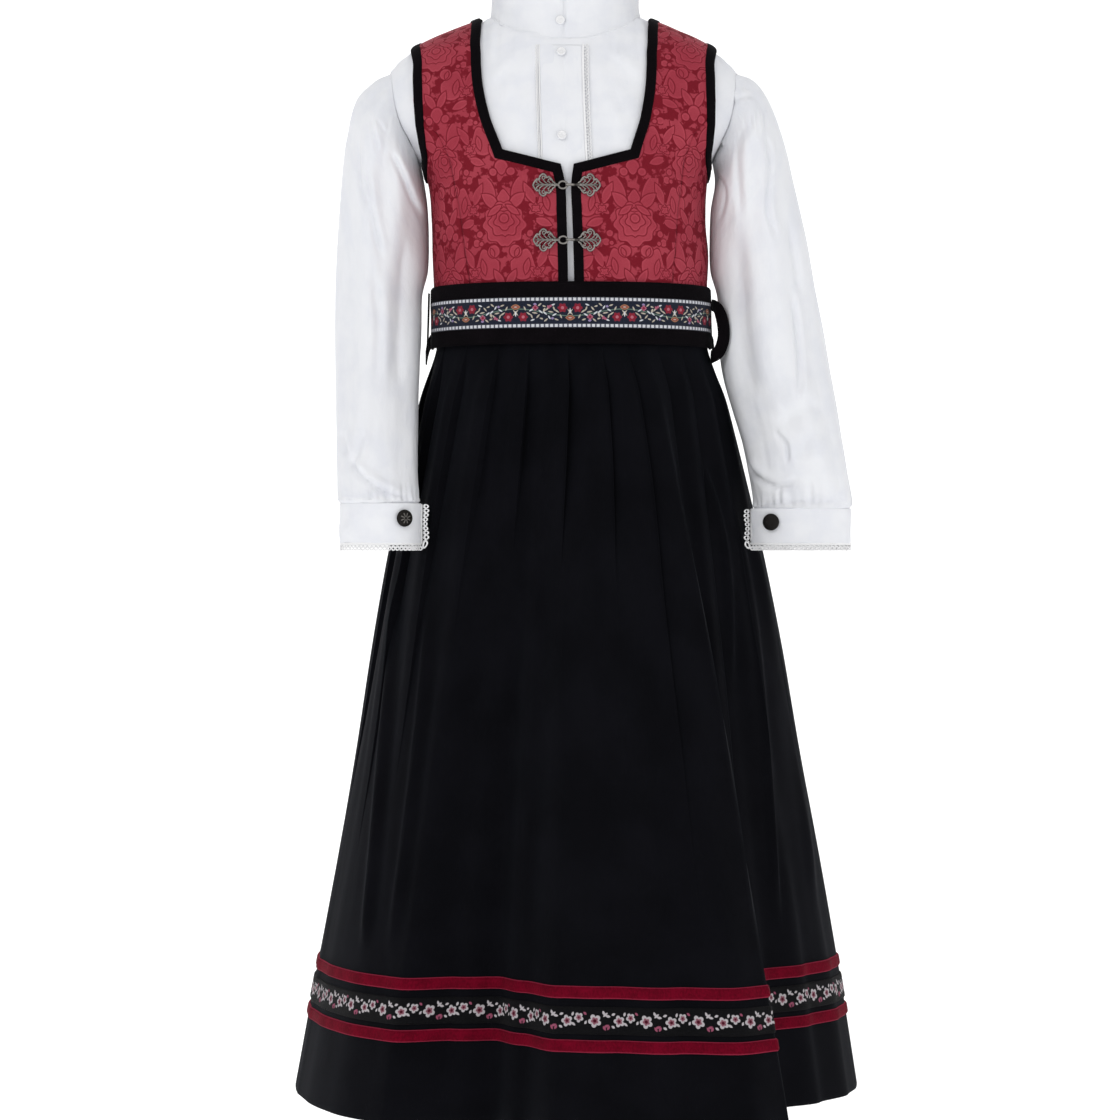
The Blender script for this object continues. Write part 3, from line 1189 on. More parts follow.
def velvet_edge(name, path, side, nodes, closed=False, corners=(), parts=6):
    """Folded velvet strip that wraps the edge of the vest; `side` says on which side of the path it lies."""
    fine = refine(path, parts, corners, closed)
    if closed:
        fine = fine[:-1]
    profile = [
        # across in mm, lift in mm
        (0.15, 1.2), (-0.45, 1.9), (-0.5, 2.9), (0.1, 3.9), (1.1, 4.35), (2.6, 4.5), (4.2, 4.45), (5.8, 4.4),
        (7.0, 4.2), (7.8, 3.8), (8.05, 3.1),
    ]
    rows = moved_in(torso, fine, [side * across for across, _ in profile], closed)
    points = []
    for row, (across, lift) in zip(rows, profile):
        wander = lattice(np.arange(len(row)) / 9.0, np.full(len(row), across / 3.0), 61) * 0.12
        points.append(lifted(torso, row[:, 0], row[:, 1], (lift + wander) * MM))
    points = np.stack(points)
    length = np.linalg.norm(np.diff(points[5], axis=0), axis=1) / MM
    along = np.concatenate([[0.0], np.cumsum(length)])
    if closed:
        along = np.append(along, along[-1] + np.linalg.norm(points[5, 0] - points[5, -1]) / MM)
    uv = np.stack([np.broadcast_to(along, (len(profile), len(along))),
                   np.broadcast_to(np.array([p[0] for p in profile])[:, None], (len(profile), len(along)))],
                   -1)
    facing = outward(points, closed)
    middle = points[5]
    inside = np.array([0.0, 0.0, 1.0]) * middle[:, 2:3]
    flip = float((facing[5] * (middle - inside)).sum()) < 0
    grid(name, points, uv, "black_velvet", nodes, ring=closed, thick=0.9, flip=flip)


for side, word in ((-1, "left"), (1, "right")):
    velvet_edge("neck_edge_" + word, mirrored(OPENING, side), -side, ("neck_binding_" + word,),
                corners=FRONT_CORNERS)
    velvet_edge("armhole_edge_" + word, mirrored(ARM_RING, side), -side, ("armhole_binding_" + word,),
                closed=True)
back_neck = BACK_NECK + [(360 - angle, level) for angle, level in BACK_NECK[:-1]][::-1]
velvet_edge("neck_edge_back", back_neck, -1, ("neck_binding_back",))


# Sleeves: gathered into the armhole and the cuff, with long soft folds

FRONT_FOLDS = {
    # side: rows of a line as seen from the front in mm, width, height; a trough is below 0
    1: (
        ([(120, -102), (126, -92), (134, -85)], 2.6, -4.5),
        ([(122, -104), (132, -118), (134, -132), (128, -156)], 1.8, -2.6),
        ([(133, -62), (146, -46), (162, -44)], 1.9, -1.6), ([(152, -66), (145, -92), (148, -150)], 3.2, -3.2),
        ([(148, -120), (150, -250), (158, -300)], 7.5, -3.2), ([(156, -56), (157, -72)], 1.3, -1.5),
        ([(160, -55), (162, -78)], 1.3, -1.4), ([(167, -56), (168, -74)], 1.4, -1.5),
        ([(168, -72), (172, -100), (170, -140), (178, -168)], 2.2, -3.2),
        ([(188, -146), (194, -184), (198, -212)], 2.4, -2.4),
        ([(191, -208), (195, -242), (197, -276), (195, -304)], 2.3, -3.4),
        ([(179, -324), (198, -312), (216, -304)], 7.0, -2.6),
        ([(175, -328), (186, -340), (187, -356)], 1.8, -2.4),
        ([(151, -352), (160, -366), (177, -376), (198, -373)], 2.6, -3.6),
        ([(205, -330), (200, -352)], 5.0, -1.6), ([(180, -376), (181, -392)], 1.6, -1.3),
        ([(206, -372), (208, -392)], 1.8, -1.2)),
    -1: (
        ([(-150, -90), (-142, -106), (-134, -126), (-123, -150)], 2.4, -4.2),
        ([(-136, -88), (-128, -98), (-122, -104)], 2.6, -2.8),
        ([(-161, -64), (-155, -74)], 1.4, -1.7), ([(-167, -62), (-163, -78), (-160, -92)], 1.5, -1.8),
        ([(-177, -74), (-175, -116), (-168, -146)], 2.0, -2.8),
        ([(-171, -98), (-165, -144), (-158, -182)], 2.2, -3.0),
        ([(-164, -192), (-160, -236), (-162, -290)], 3.4, -2.6),
        ([(-138, -160), (-142, -230), (-144, -300)], 4.5, -2.2),
        ([(-190, -328), (-187, -350)], 2.6, -2.2), ([(-172, -328), (-178, -350), (-183, -362)], 2.4, -2.0),
        ([(-184, -350), (-175, -366), (-158, -378), (-140, -383)], 2.4, -3.6),
        ([(-168, -372), (-168, -388)], 1.7, -2.0),
        ([(-155, -378), (-151, -389)], 2.4, -1.8), ([(-184, -60), (-186, -110)], 3.0, -1.3),
        ([(-186, -150), (-184, -230)], 4.0, -1.6)),
}
BACK_FOLDS = (
    # (turn, share) at both ends, width in mm, height, bow
    ((215, 0.06), (245, 0.30), 3.5, -3.0, 5.0), ((300, 0.08), (285, 0.45), 4.0, -2.6, -6.0),
    ((265, 0.04), (262, 0.16), 2.4, -1.8, 1.0), ((240, 0.35), (262, 0.80), 5.0, -3.0, 6.0),
    ((310, 0.40), (285, 0.85), 4.0, -2.6, -5.0), ((225, 0.62), (300, 0.70), 5.0, -2.4, 8.0),
    ((215, 0.90), (300, 0.94), 3.0, -3.0, -5.0), ((330, 0.06), (325, 0.30), 3.0, -2.0, 2.0),
    ((250, 0.92), (252, 0.99), 2.2, -1.8, 0.0), ((280, 0.93), (278, 0.99), 2.2, -1.8, 0.0),
)


def sleeve_points(side, turn, share):
    """Points of a sleeve: turn 0 outer, 90 front, 180 beside the body; share 0 at the seam, 1 at the cuff."""
    rows = SLEEVES[side]

    def ring(at_turn, at_share):
        sizes = [table_share(rows, k, at_share) for k in range(6)]
        outer_x, outer_z, inner_x, inner_z, centre_y, depth = sizes
        cosine, sine = np.cos(np.radians(at_turn)), np.sin(np.radians(at_turn))
        x = (outer_x + inner_x) / 2 + (outer_x - inner_x) / 2 * cosine
        z = (outer_z + inner_z) / 2 + (outer_z - inner_z) / 2 * cosine
        return np.stack([x, centre_y - depth * sine, z], -1) * MM

    head = (1.0 - ease(share, 0.0, 0.16))[..., None]
    point = ring(turn, share) + (arm_seam(side, turn) - ring(turn, 0.0 * share)) * head
    middle = (ring(0.0 * turn, share) + ring(0.0 * turn + 180.0, share)) / 2
    out = unit(point - middle)
    height = np.zeros_like(turn)
    for at, drift, first, last, tall, half in SLEEVE_FOLDS:
        where = at + drift * (share - first) / (last - first)
        off = np.abs((turn - where + 180.0) % 360.0 - 180.0) / half
        fade = ease(share, first - 0.05, first + 0.12) * (1 - ease(share, last - 0.12, last + 0.03))
        height = height + np.where(off < 1.0,
                                   tall * fade * (0.5 + 0.5 * np.cos(math.pi * np.minimum(off, 1.0))), 0.0)
    x, z = seen(point)
    front = ease(np.sin(np.radians(turn)), 0.02, 0.30)
    for path, width, tall in FRONT_FOLDS[side]:
        height = height + fold_line(x, z, path, width, tall) * front
    # The back's folds lie on the unrolled cloth: round in mm at about 47 mm radius, down in mm.
    across, down = turn * 0.82, share * 345.0
    for first, last, width, tall, bow in BACK_FOLDS:
        begin, finish = (first[0] * 0.82, first[1] * 345.0), (last[0] * 0.82, last[1] * 345.0)
        height = height + crease(across, down, begin, finish, width, tall, bow)
    # Gathers: uneven waves that die out away from the head and the cuff.
    uneven = turn + 5.0 * np.sin(np.radians(turn * 3.0 + 40.0)) + 3.0 * np.sin(np.radians(turn * 5.0))
    wave = np.cos(np.radians(uneven * 12.0)) * 0.5 + np.cos(np.radians(uneven * 29.0)) * 0.30
    upper = 0.35 + 0.65 * (0.5 + 0.5 * np.cos(np.radians(turn)))
    head_gather = ease(share, 0.0, 0.05) * (1 - ease(share, 0.05, 0.22)) * upper
    cuff_gather = ease(share, 0.86, 0.97) * (1 - ease(share, 0.975, 1.0))
    height = height + wave * (1.1 * head_gather + 1.4 * cuff_gather)
    wrap = turn / 360.0 * 64.0
    slack = lattice(wrap / 4.0, share * 7.0, 71 + side) * 0.9 + lattice(wrap, share * 22.0, 73 + side) * 0.22
    height = height + slack * ease(share, 0.02, 0.12) * (1 - ease(share, 0.95, 1.0))
    # Full against the bodice between the armhole and the belt.
    level = point[..., 2] / MM
    full = np.exp(-((turn - 178.0) / 26.0) ** 2) * ease(-level, 104.0,
                                                        135.0) * (1 - ease(-level, 188.0, 214.0))
    height = height + (2.6 if side > 0 else 2.2) * full
    return point + out * (height * MM)[..., None]


for side, word in ((-1, "left"), (1, "right")):
    turns = np.linspace(0, 360, 201)[:-1]
    shares = np.concatenate([np.linspace(0, 0.06, 10), np.linspace(0.07, 0.93, 116),
                             np.linspace(0.936, 1.0, 18)])
    u, v = np.meshgrid(turns, shares)
    points = sleeve_points(side, u, v)
    # The first rows tuck under the shirt at the armhole, the last ones into the cuff.
    under = (1.0 - ease(v, 0.0, 0.014))[..., None]
    centre = points.mean(1, keepdims=True)
    back_along = unit(points[:1] - points[4:5]) * under * 1.5 * MM
    points = points + back_along + unit(centre - points) * under * 0.35 * MM
    tucked = ease(v, 0.985, 1.0)[..., None]
    points = points + unit((centre - points) * np.array([1.0, 1.0, 0.0])) * tucked * 1.9 * MM
    points = points - tucked * np.array([0.0, 0.0, 1.6 * MM])
    facing = outward(points, True)
    flip = float((facing * (points - points.mean(1, keepdims=True))).sum()) < 0
    around = np.concatenate([u, u[:, :1] + 360.0], 1) * 0.82
    grid("sleeve_" + word + "_cloth", points,
         np.stack([around, np.concatenate([v, v[:, :1]], 1) * 345.0], -1),
         "white_cotton", ("sleeve_" + word,), ring=True, thick=0.8, flip=flip)


def cuff_points(side, turn, level):
    centre_x, centre_y, half, depth, *_ = CUFFS[side]
    angle = np.radians(turn + 8.0)
    grow = (1.0 - ease(turn, 45.0, 95.0)) * 1.9
    x = centre_x - side * (half + grow) * np.cos(angle)
    y = centre_y - (depth + grow) * np.sin(angle)
    return np.stack([x, y, level + 0.0 * x], -1) * MM


def cuff_out(side, turn, level):
    ahead = cuff_points(side, turn + 1.0, level) - cuff_points(side, turn - 1.0, level)
    out = unit(np.stack([ahead[..., 1], -ahead[..., 0], 0.0 * ahead[..., 0]], -1))
    centre = np.array([CUFFS[side][0] * MM, CUFFS[side][1] * MM, 0.0])
    flat = (cuff_points(side, turn, level) - centre) * np.array([1.0, 1.0, 0.0])
    return out * np.sign((out * flat).sum(-1, keepdims=True))


for side, word in ((-1, "left"), (1, "right")):
    centre_x, centre_y, half, depth, top, bottom, button_turn = CUFFS[side]
    turns = np.concatenate([[0.0, 0.5, 1.2], np.linspace(2.5, 360 + CUFF_LAP - 2.5, 170),
                            [360 + CUFF_LAP - 1, 360 + CUFF_LAP]])
    downs = np.concatenate([[0.0, 0.01, 0.03], np.linspace(0.06, 0.94, 26), [0.97, 0.99, 1.0]])
    u, v = np.meshgrid(turns, downs)
    level = top + (bottom - top) * v
    tall = top - bottom
    from_edge = np.minimum(v, 1 - v) * tall
    relief = lattice(u / 17.0, v * 3.0, 81 + side) * 0.55 - 0.5 * (1 - ease(from_edge, 0.0, 0.7))
    relief = relief - 0.30 * np.exp(-((from_edge - 2.2) / 0.35) ** 2)
    end_gap = np.minimum(u, 360 + CUFF_LAP - u) * half / 57.3
    relief = relief - 0.5 * (1 - ease(end_gap, 0.0, 0.8)) - 0.3 * np.exp(-((end_gap - 2.6) / 0.4) ** 2)
    dent = np.exp(-(((u - button_turn) * half / 57.3) ** 2 + (level - (top + bottom) / 2 - 3.0) ** 2) / 90.0)
    relief = relief - 0.7 * dent
    points = cuff_points(side, u, level) + cuff_out(side, u, level) * (relief * MM)[..., None]
    facing = outward(points)
    flip = float((facing * cuff_out(side, u, level)).sum()) < 0
    around = run_length(points, 1)
    grid("cuff_" + word + "_cloth", points, np.stack([around, v * tall], -1), "white_cotton",
         ("cuff_" + word,), thick=1.3, flip=flip)

    # Lace down the lapped end, round its corner and along the lower edge.
    path = [(-0.6, z) for z in np.linspace(top - 0.6, bottom + 1.0, 24)]
    path += [(turn, bottom - 0.1) for turn in np.linspace(0.0, 352.0, 260)]
    path = np.array(path)
    trail = cuff_points(side, path[:, 0], path[:, 1])
    length = np.concatenate([[0.0], np.cumsum(np.linalg.norm(np.diff(trail, axis=0), axis=1))]) / MM
    sideways = np.broadcast_to(unit(np.array([-side * 1.0, -0.35, 0.0])), trail.shape)
    downwards = np.broadcast_to(np.array([0.0, 0.0, -1.0]), sideways.shape)
    blend = ease(length, length[23] - 4.0, length[23] + 4.5)[:, None]
    reach = unit(sideways * (1.0 - blend) + downwards * blend)
    out = cuff_out(side, np.maximum(path[:, 0], 0.0), path[:, 1])

    def cuff_lace(along, across, lift, length=length, trail=trail, reach=reach, out=out):
        along, across = np.asarray(along, float), np.asarray(across, float)
        at = [np.stack([np.interp(along, length, table[:, k]) for k in range(3)], -1)
              for table in (trail, reach, out)]
        flare = (across / 5.0) ** 2 * (0.5 + 0.6 * np.sin(along / 3.3))
        aside = (across * 1.15 - 0.6)[..., None] * MM
        away = (lift - 0.7 + flare)[..., None] * MM
        return at[0] + at[1] * aside + at[2] * away

    scallop_lace("cuff_lace_" + word + "_trim", cuff_lace, float(length[-1]), 5.6, 3.6,
                 ("cuff_lace_" + word,))


# Skirt: knife pleats under the belt, falling open to the hem

def pleat_columns(first, last, fine):
    """Columns close together at each fold edge and its drop, and even between them."""
    shares = np.concatenate([[0.0, 0.012, 0.03, 0.055, 0.09], np.linspace(0.14, 0.93, fine), [0.965, 0.988]])
    columns = []
    for turn in (-360.0, 0.0, 360.0):
        edges = PLEATS[:, 0] + turn
        before = np.concatenate([[PLEATS[-1, 0] - 360 + turn], edges[:-1]])
        columns.append((before[:, None] + shares[None, :] * (edges - before)[:, None]).ravel())
    columns = np.sort(np.concatenate(columns))
    inside = columns[(columns > first + 0.2) & (columns < last - 0.2)]
    return np.concatenate([[first], inside, [last]])


SKIRT_FOLDS = (
    # a line as seen from the front in mm, width, height; a ridge is above 0
    ([(-145, -448), (-152, -540), (-166, -700), (-174, -780)], 3.2, 4.2),
    ([(-116, -470), (-124, -560), (-138, -680), (-154, -790)], 3.4, 3.8),
    ([(110, -345), (128, -400), (137, -458), (140, -560)], 3.0, 3.8),
    ([(140, -380), (160, -500), (172, -640), (180, -760)], 3.0, 3.8),
    ([(150, -390), (176, -500), (200, -640), (212, -740)], 3.0, 3.4),
    ([(-70, -330), (-78, -420), (-92, -560)], 6.0, -1.6), ([(-6, -360), (-4, -480), (2, -640)], 7.0, -1.6),
    ([(44, -330), (52, -520), (62, -700)], 8.0, -1.8), ([(-40, -480), (-48, -640), (-60, -740)], 9.0, -1.4),
)


def folded_over(angle, level):
    """The skirt with each fold edge drawn a little over the cloth beyond it, near the belt."""
    share = np.maximum((level - SKIRT_TOP) / (SKIRT_HEM - SKIRT_TOP), 0.0)
    index, off = pleat_at(angle)
    fade = PLEATS[index, 3]
    strength = ease(-level, 262.0, 300.0) * (1 - ease(share, fade * 0.45, fade))
    point = skirt(angle, level)
    sideways = unit(np.cross(np.array([0.0, 0.0, 1.0]), unit(point * np.array([1.0, 1.0, 0.0]))))
    over = ease(off, 0.80, 1.0) * 2.0 * strength
    valley = -2.6 * np.exp(-(off / 0.16) ** 2) * strength
    valley = valley + 1.3 * np.exp(-((off - 0.80) / 0.14) ** 2) * strength
    x, z = seen(point)
    front = ease(np.cos(np.radians(angle)), -0.15, 0.10) * (1 - ease(-level, 735.0, 765.0))
    for path, width, tall in SKIRT_FOLDS:
        valley = valley + fold_line(x, z, path, width, tall, 0.35) * front
    radial = unit(point * np.array([1.0, 1.0, 0.0]))
    return point + sideways * (over * MM)[..., None] + radial * (valley * MM)[..., None]


def hung_out(points):
    """Unit directions away from the axis, square to a hanging cloth."""
    normal = outward(points)
    radial = unit(points * np.array([1.0, 1.0, 0.0]))
    return normal * np.sign((normal * radial).sum(-1, keepdims=True))


def hung_cloth(name, base, lift, uv, look, nodes, thick):
    """Hanging cloth from a grid of base points, each moved out by its lift in mm."""
    points = base + hung_out(base) * (lift * MM)[..., None]
    flip = float((outward(points) * points * np.array([1.0, 1.0, 0.0])).sum()) < 0
    return grid(name, points, uv, look, nodes, thick=thick, flip=flip)


SKIRT_ROWS = np.concatenate([np.linspace(-245, -300, 16), np.linspace(-306, -640, 58),
                             np.linspace(-647, -880, 35),
                             [-883.5, -885.6, -886.6, -887.0]])
BAND_SHARES = np.concatenate([[0.0, 0.02, 0.06, 0.12], np.linspace(0.2, 0.8, 7), [0.88, 0.94, 0.98, 1.0]])
BANDS = (
    # name, top, bottom, look, how far its middle stands up in mm
    ("upper_ribbon", -773.2, -782.8, "red_velvet", 0.8),
    ("flower_band", -789.0, -810.0, "flower_ribbon", 0.4),
    ("lower_ribbon", -814.2, -823.8, "red_velvet", 0.8),
)

for word, first, last in (("front", -90.0, 90.0), ("back", 90.0, 270.0)):
    angles = pleat_columns(first, last, 12)
    u, v = np.meshgrid(angles, SKIRT_ROWS)
    hem_stitch = np.exp(-((v + 862.0) / 1.2) ** 2)
    lift = -0.9 * ease(-v, 884.5, 887.0) - 0.35 * hem_stitch
    hung_cloth("skirt_" + word + "_cloth", folded_over(u, v), lift, np.stack([u * 4.2, v], -1), "black_wool",
               ("skirt_" + word,), 1.2)
    for name, top, bottom, look, crown in BANDS:
        levels = top + (bottom - top) * BAND_SHARES
        u, v = np.meshgrid(angles, levels)
        inset = np.minimum(BAND_SHARES, 1 - BAND_SHARES)[:, None] * (top - bottom) + 0.0 * u
        base = skirt(u, v)
        middle = base[len(levels) // 2]
        along = np.concatenate([[0.0], np.cumsum(np.linalg.norm(np.diff(middle, axis=0), axis=1))]) / MM
        lift = 0.5 + 0.5 * ease(inset, 0.0, 0.6) + crown * ease(inset, 0.2, 1.6)
        uv = np.stack([np.broadcast_to(along, u.shape), v - (top + bottom) / 2], -1)
        hung_cloth(f"{name}_{word}_trim", base, lift, uv, look, (f"{name}_{word}",), 0.5)


# Waistband, belt and its woven ribbon

def band_grid(name, surface, angles, levels, lift, uv, look, nodes, thick, ring=False):
    """Cloth that lies round the body at a lift in mm."""
    u, v = np.meshgrid(angles, levels)
    points = lifted(surface, u, v, lift(u, v) * MM)
    facing = outward(points, ring)
    flip = float((facing * points * np.array([1.0, 1.0, 0.0])).sum()) < 0
    if ring:
        u, v = (np.concatenate([part, part[:, :1] + turn], 1) for part, turn in ((u, 360.0), (v, 0.0)))
    return grid(name, points, uv(u, v), look, nodes, ring=ring, thick=thick, flip=flip)


band_grid("waistband_cloth", torso, np.linspace(0, 360, 181)[:-1], np.linspace(-232.3, -244.7, 9),
          lambda u, v: 2.2 + 0.0 * u, lambda u, v: np.stack([u * 1.75, v], -1), "black_wool", ("waistband",),
          1.6,
          ring=True)

BELT_TURNS = np.linspace(-86, 86, 201)
BELT_NET = belt_surface(BELT_TURNS, np.full(201, -234.0))
BELT_RUN = np.concatenate([[0.0], np.cumsum(np.linalg.norm(np.diff(BELT_NET, axis=0), axis=1))]) / MM
BELT_RUN = BELT_RUN - np.interp(-0.35, BELT_TURNS, BELT_RUN)


def belt_along(angle):
    """Length in mm round the belt from the middle of its pattern."""
    return np.interp(angle, BELT_TURNS, BELT_RUN)


def belt_lift(u, v):
    edge = np.minimum(BELT_TOP - v, v - BELT_BOTTOM)
    end = np.minimum(belt_along(u) - BELT_RUN[0], BELT_RUN[-1] - belt_along(u))
    rolled = 1.0 - ease(np.minimum(edge, end), 0.0, 1.6)
    return 2.1 - 1.0 * rolled + lattice(belt_along(u) / 16.0, v / 13.0, 91) * 0.35


BELT_SHARES = np.concatenate([[0.0, 0.008, 0.02, 0.035], np.linspace(0.06, 0.94, 34),
                              [0.965, 0.98, 0.992, 1.0]])
BELT_LEVELS = BELT_TOP + (BELT_BOTTOM - BELT_TOP) * BELT_SHARES
band_grid("belt_cloth", belt_surface, BELT_TURNS, BELT_LEVELS, belt_lift,
          lambda u, v: np.stack([belt_along(u), v], -1), "black_velvet", ("belt",), 1.9)

RIBBON_SHARES = np.concatenate([[0.0, 0.015, 0.04], np.linspace(0.08, 0.92, 26), [0.96, 0.985, 1.0]])


def ribbon_lift(u, v):
    edge = np.minimum(-221.0 - v, v + 247.0)
    rail = np.exp(-((edge - 2.0) / 1.2) ** 2)
    slack = lattice(belt_along(u) / 11.0, v / 9.0, 92) * 0.22
    return 3.0 - 0.7 * (1 - ease(edge, 0.0, 0.7)) + 0.25 * rail + slack


band_grid("belt_ribbon_trim", belt_surface, BELT_TURNS[10:-10], -221.0 - 26.0 * RIBBON_SHARES, ribbon_lift,
          lambda u, v: np.stack([belt_along(u), v + 234.0], -1), "woven_ribbon", ("belt_ribbon",), 0.7)


# Ties: one ribbon from each end of the belt, in a loop and round to the knot at the back

TIE_RIGHT = [
    # x, y, z of the middle, then the way its width runs
    (123.3, -6, -222, 0.0, 0.0, 1.0), (124.7, -22, -224, 0.1, 0.0, 1.0), (127.6, -36, -229, 0.6, -0.2, 0.75),
    (130.5, -42, -240, 0.95, -0.1, 0.25), (131.0, -43, -252, 0.97, 0.0, -0.2),
    (127.5, -42, -263, 0.6, 0.0, -0.8),
    (122.0, -39, -267.5, 0.1, 0.1, -1.0), (121.6, -28, -267.5, 0.0, 0.0, -1.0),
    (123.8, -14, -265, 0.0, 0.0, -1.0),
    (124.4, 2, -259, 0.0, 0.1, -1.0), (123.2, 16, -251, 0.0, 0.2, -1.0),
]
TIE_LEFT = [
    # x, y, z of the middle, then the way its width runs
    (-116.9, -14, -213, 0.0, 1.0, 0.0), (-117.4, -15, -235, 0.0, 1.0, 0.0),
    (-118.0, -15, -254, 0.0, 1.0, 0.1),
    (-118.4, -13, -264, 0.0, 0.85, 0.5), (-119.2, -5, -267.5, 0.0, 0.35, 0.93),
    (-119.6, 6, -264, 0.0, 0.0, 1.0),
    (-116.8, 18, -252, 0.0, -0.2, 0.97),
]
TIE_WIDTH = 10.2
KNOT_LEVEL = -238.0
RIBBON_SECTION = [
    # across in half widths, out in mm
    (-1.0, 0.0), (-0.97, 0.45), (-0.85, 0.6), (-0.4, 0.68), (0.0, 0.7), (0.4, 0.68), (0.85, 0.6),
    (0.97, 0.45),
    (1.0, 0.0), (0.97, -0.45), (0.85, -0.6), (0.4, -0.65), (0.0, -0.65), (-0.4, -0.65), (-0.85, -0.6),
    (-0.97, -0.45),
]


def swept(name, rings, look, nodes=(), raised=None):
    """Closed body through rings of points, capped at both ends."""
    rings = np.asarray(rings)
    count, sides = rings.shape[:2]
    faces, corners = grid_faces(count, sides, ring=True)
    centre = rings.mean(1, keepdims=True)
    facing = outward(rings, True)
    flip = float((facing * (rings - centre)).sum()) < 0
    step = np.concatenate([[0.0], np.cumsum(np.linalg.norm(np.diff(centre[:, 0], axis=0), axis=1))]) / MM
    hoop = np.linalg.norm(np.diff(np.concatenate([rings[:1], rings[:1, :1]], 1), axis=1), axis=-1)[0]
    round_way = np.concatenate([[0.0], np.cumsum(hoop)]) / MM
    uv = np.stack(np.broadcast_arrays(round_way[None, :], step[:, None]), -1).reshape(-1, 2)
    faces = [tuple(row) for row in (faces[:, ::-1] if flip else faces).tolist()]
    uvs = [uv[(corners[:, ::-1] if flip else corners).ravel()]]
    first, last = tuple(range(sides)), tuple((count - 1) * sides + k for k in range(sides))
    for cap, turned in ((first, not flip), (last, flip)):
        faces.append(cap[::-1] if turned else cap)
        uvs.append(np.zeros((sides, 2)))
    return add_piece(name, rings.reshape(-1, 3), faces, look, nodes, np.concatenate(uvs), raised)


def tie(name, rows, side, node):
    rows = list(rows)
    for angle in (110, 122, 135, 148, 161, 173.5):
        level = KNOT_LEVEL + (rows[-1][2] - KNOT_LEVEL) * (0.5 if angle == 110 else 0.0)
        level = max(level, -241.0)
        point = lifted(torso, side * angle, level, 5.6 * MM) / MM
        rows.append((point[0], point[1], level, 0.0, 0.0, -1.0 if side > 0 else 1.0))
    rows = np.array(rows, float)
    keys = np.arange(len(rows))
    steps = np.linspace(0, len(rows) - 1, (len(rows) - 1) * 9 + 1)
    smooth = np.stack([curve(steps, keys, rows[:, k]) for k in range(6)], -1)
    middle, width = smooth[:, :3], smooth[:, 3:]
    run = unit(np.gradient(middle, axis=0))
    across = unit(width - run * (width * run).sum(-1, keepdims=True))
    out = np.cross(run, across)
    sag = lattice(steps / 1.7, 0.0 * steps, 93) * 0.35
    rings = [middle + across * a * TIE_WIDTH / 2 + out * (b + sag * (1 - a * a))[:, None]
             for a, b in RIBBON_SECTION]
    return swept(name, np.stack(rings, 1) * MM, "black_velvet", (node,))


tie("tie_right_ribbon", TIE_RIGHT, 1, "tie_right")
tie("tie_left_ribbon", TIE_LEFT, -1, "tie_left")

knot_place = lifted(torso, 180.0, KNOT_LEVEL, 3.8 * MM) / MM
knot_keys = np.array([(-6.5, 3.6, 2.6), (-5.0, 5.4, 4.4), (-2.0, 6.0, 5.2), (0.0, 5.8, 5.0), (2.0, 6.1, 5.4),
                      (5.0, 5.4, 4.4), (6.5, 3.6, 2.6)])
knot_steps = np.linspace(-6.5, 6.5, 27)
tall, thick = (curve(knot_steps, knot_keys[:, 0], knot_keys[:, k]) for k in (1, 2))
hoop = np.radians(np.linspace(0, 360, 33)[:-1])
folds = 1.0 + 0.05 * np.sin(hoop * 5.0 + 1.0)[None, :] * np.ones((27, 1))
knot_rings = np.stack([
    knot_place[0] + knot_steps[:, None] + 0.0 * hoop[None, :],
    knot_place[1] + thick[:, None] * (0.5 + 0.5 * np.cos(hoop)[None, :] * folds),
    KNOT_LEVEL + tall[:, None] * np.sin(hoop)[None, :] * folds], -1) * MM
swept("tie_knot_cloth", knot_rings, "black_velvet", ("tie_knot",))

for word, column_a, column_b, first, last in (("left", 181.7, 189.35, 0.25, 0.80),
                                              ("right", 172.8, 180.0, 0.05, 0.60)):
    shares = np.linspace(first, last, 13)
    levels = np.concatenate([np.linspace(-245.6, -350.0, 60), [-351.4, -352.0]])
    u, v = np.meshgrid(shares, levels)
    base = skirt(column_a, v) * (1.0 - u[..., None]) + skirt(column_b, v) * u[..., None]
    wave = 0.5 * np.sin(v / 13.0 + column_a) * ease(-v, 262.0, 300.0)
    lift = 1.3 + 0.35 * ease(np.minimum(u - first, last - u), 0.0, 0.06) + wave * 0.4
    hung_cloth("tie_tail_" + word + "_ribbon", base, lift, np.stack([u * 30.0, v], -1), "black_velvet",
               ("tie_tail_" + word,), 0.9)


# Buttons and clasps

def facing_of(surface, u, v):
    along, up = slopes(surface, u, v)
    return unit(np.cross(along, up))


def turned(name, place, facing, profile, look, node, relief=None, sides=64):
    """Button turned round an axis. Profile rows are (radius, height) in mm, and relief adds height."""
    facing = unit(facing)
    across = unit(np.cross(np.array([0.0, 0.0, 1.0]), facing))
    up = np.cross(facing, across)
    profile = np.array(profile, float)
    keys = np.concatenate([[0.0], np.cumsum(np.linalg.norm(np.diff(profile, axis=0), axis=1))])
    steps = np.linspace(0.0, keys[-1], 46)
    radius = np.maximum(curve(steps, keys, profile[:, 0]), 0.02)[:, None]
    height = curve(steps, keys, profile[:, 1])[:, None]
    angle = (2 * math.pi * np.arange(sides) / sides)[None, :]
    added = np.zeros((46, sides))
    if relief is not None:
        face = (steps > keys[2])[:, None]
        added = np.where(face, relief(radius, angle), 0.0)
    rings = (place + facing * ((height + added) * MM)[..., None]
             + (across * np.cos(angle)[..., None] + up * np.sin(angle)[..., None]) * (radius * MM)[..., None])
    shade = np.clip(0.42 + added * 1.5, 0.0, 1.0) * (steps > keys[1])[:, None]
    return swept(name, rings, look, (node,), raised=np.broadcast_to(shade, added.shape))


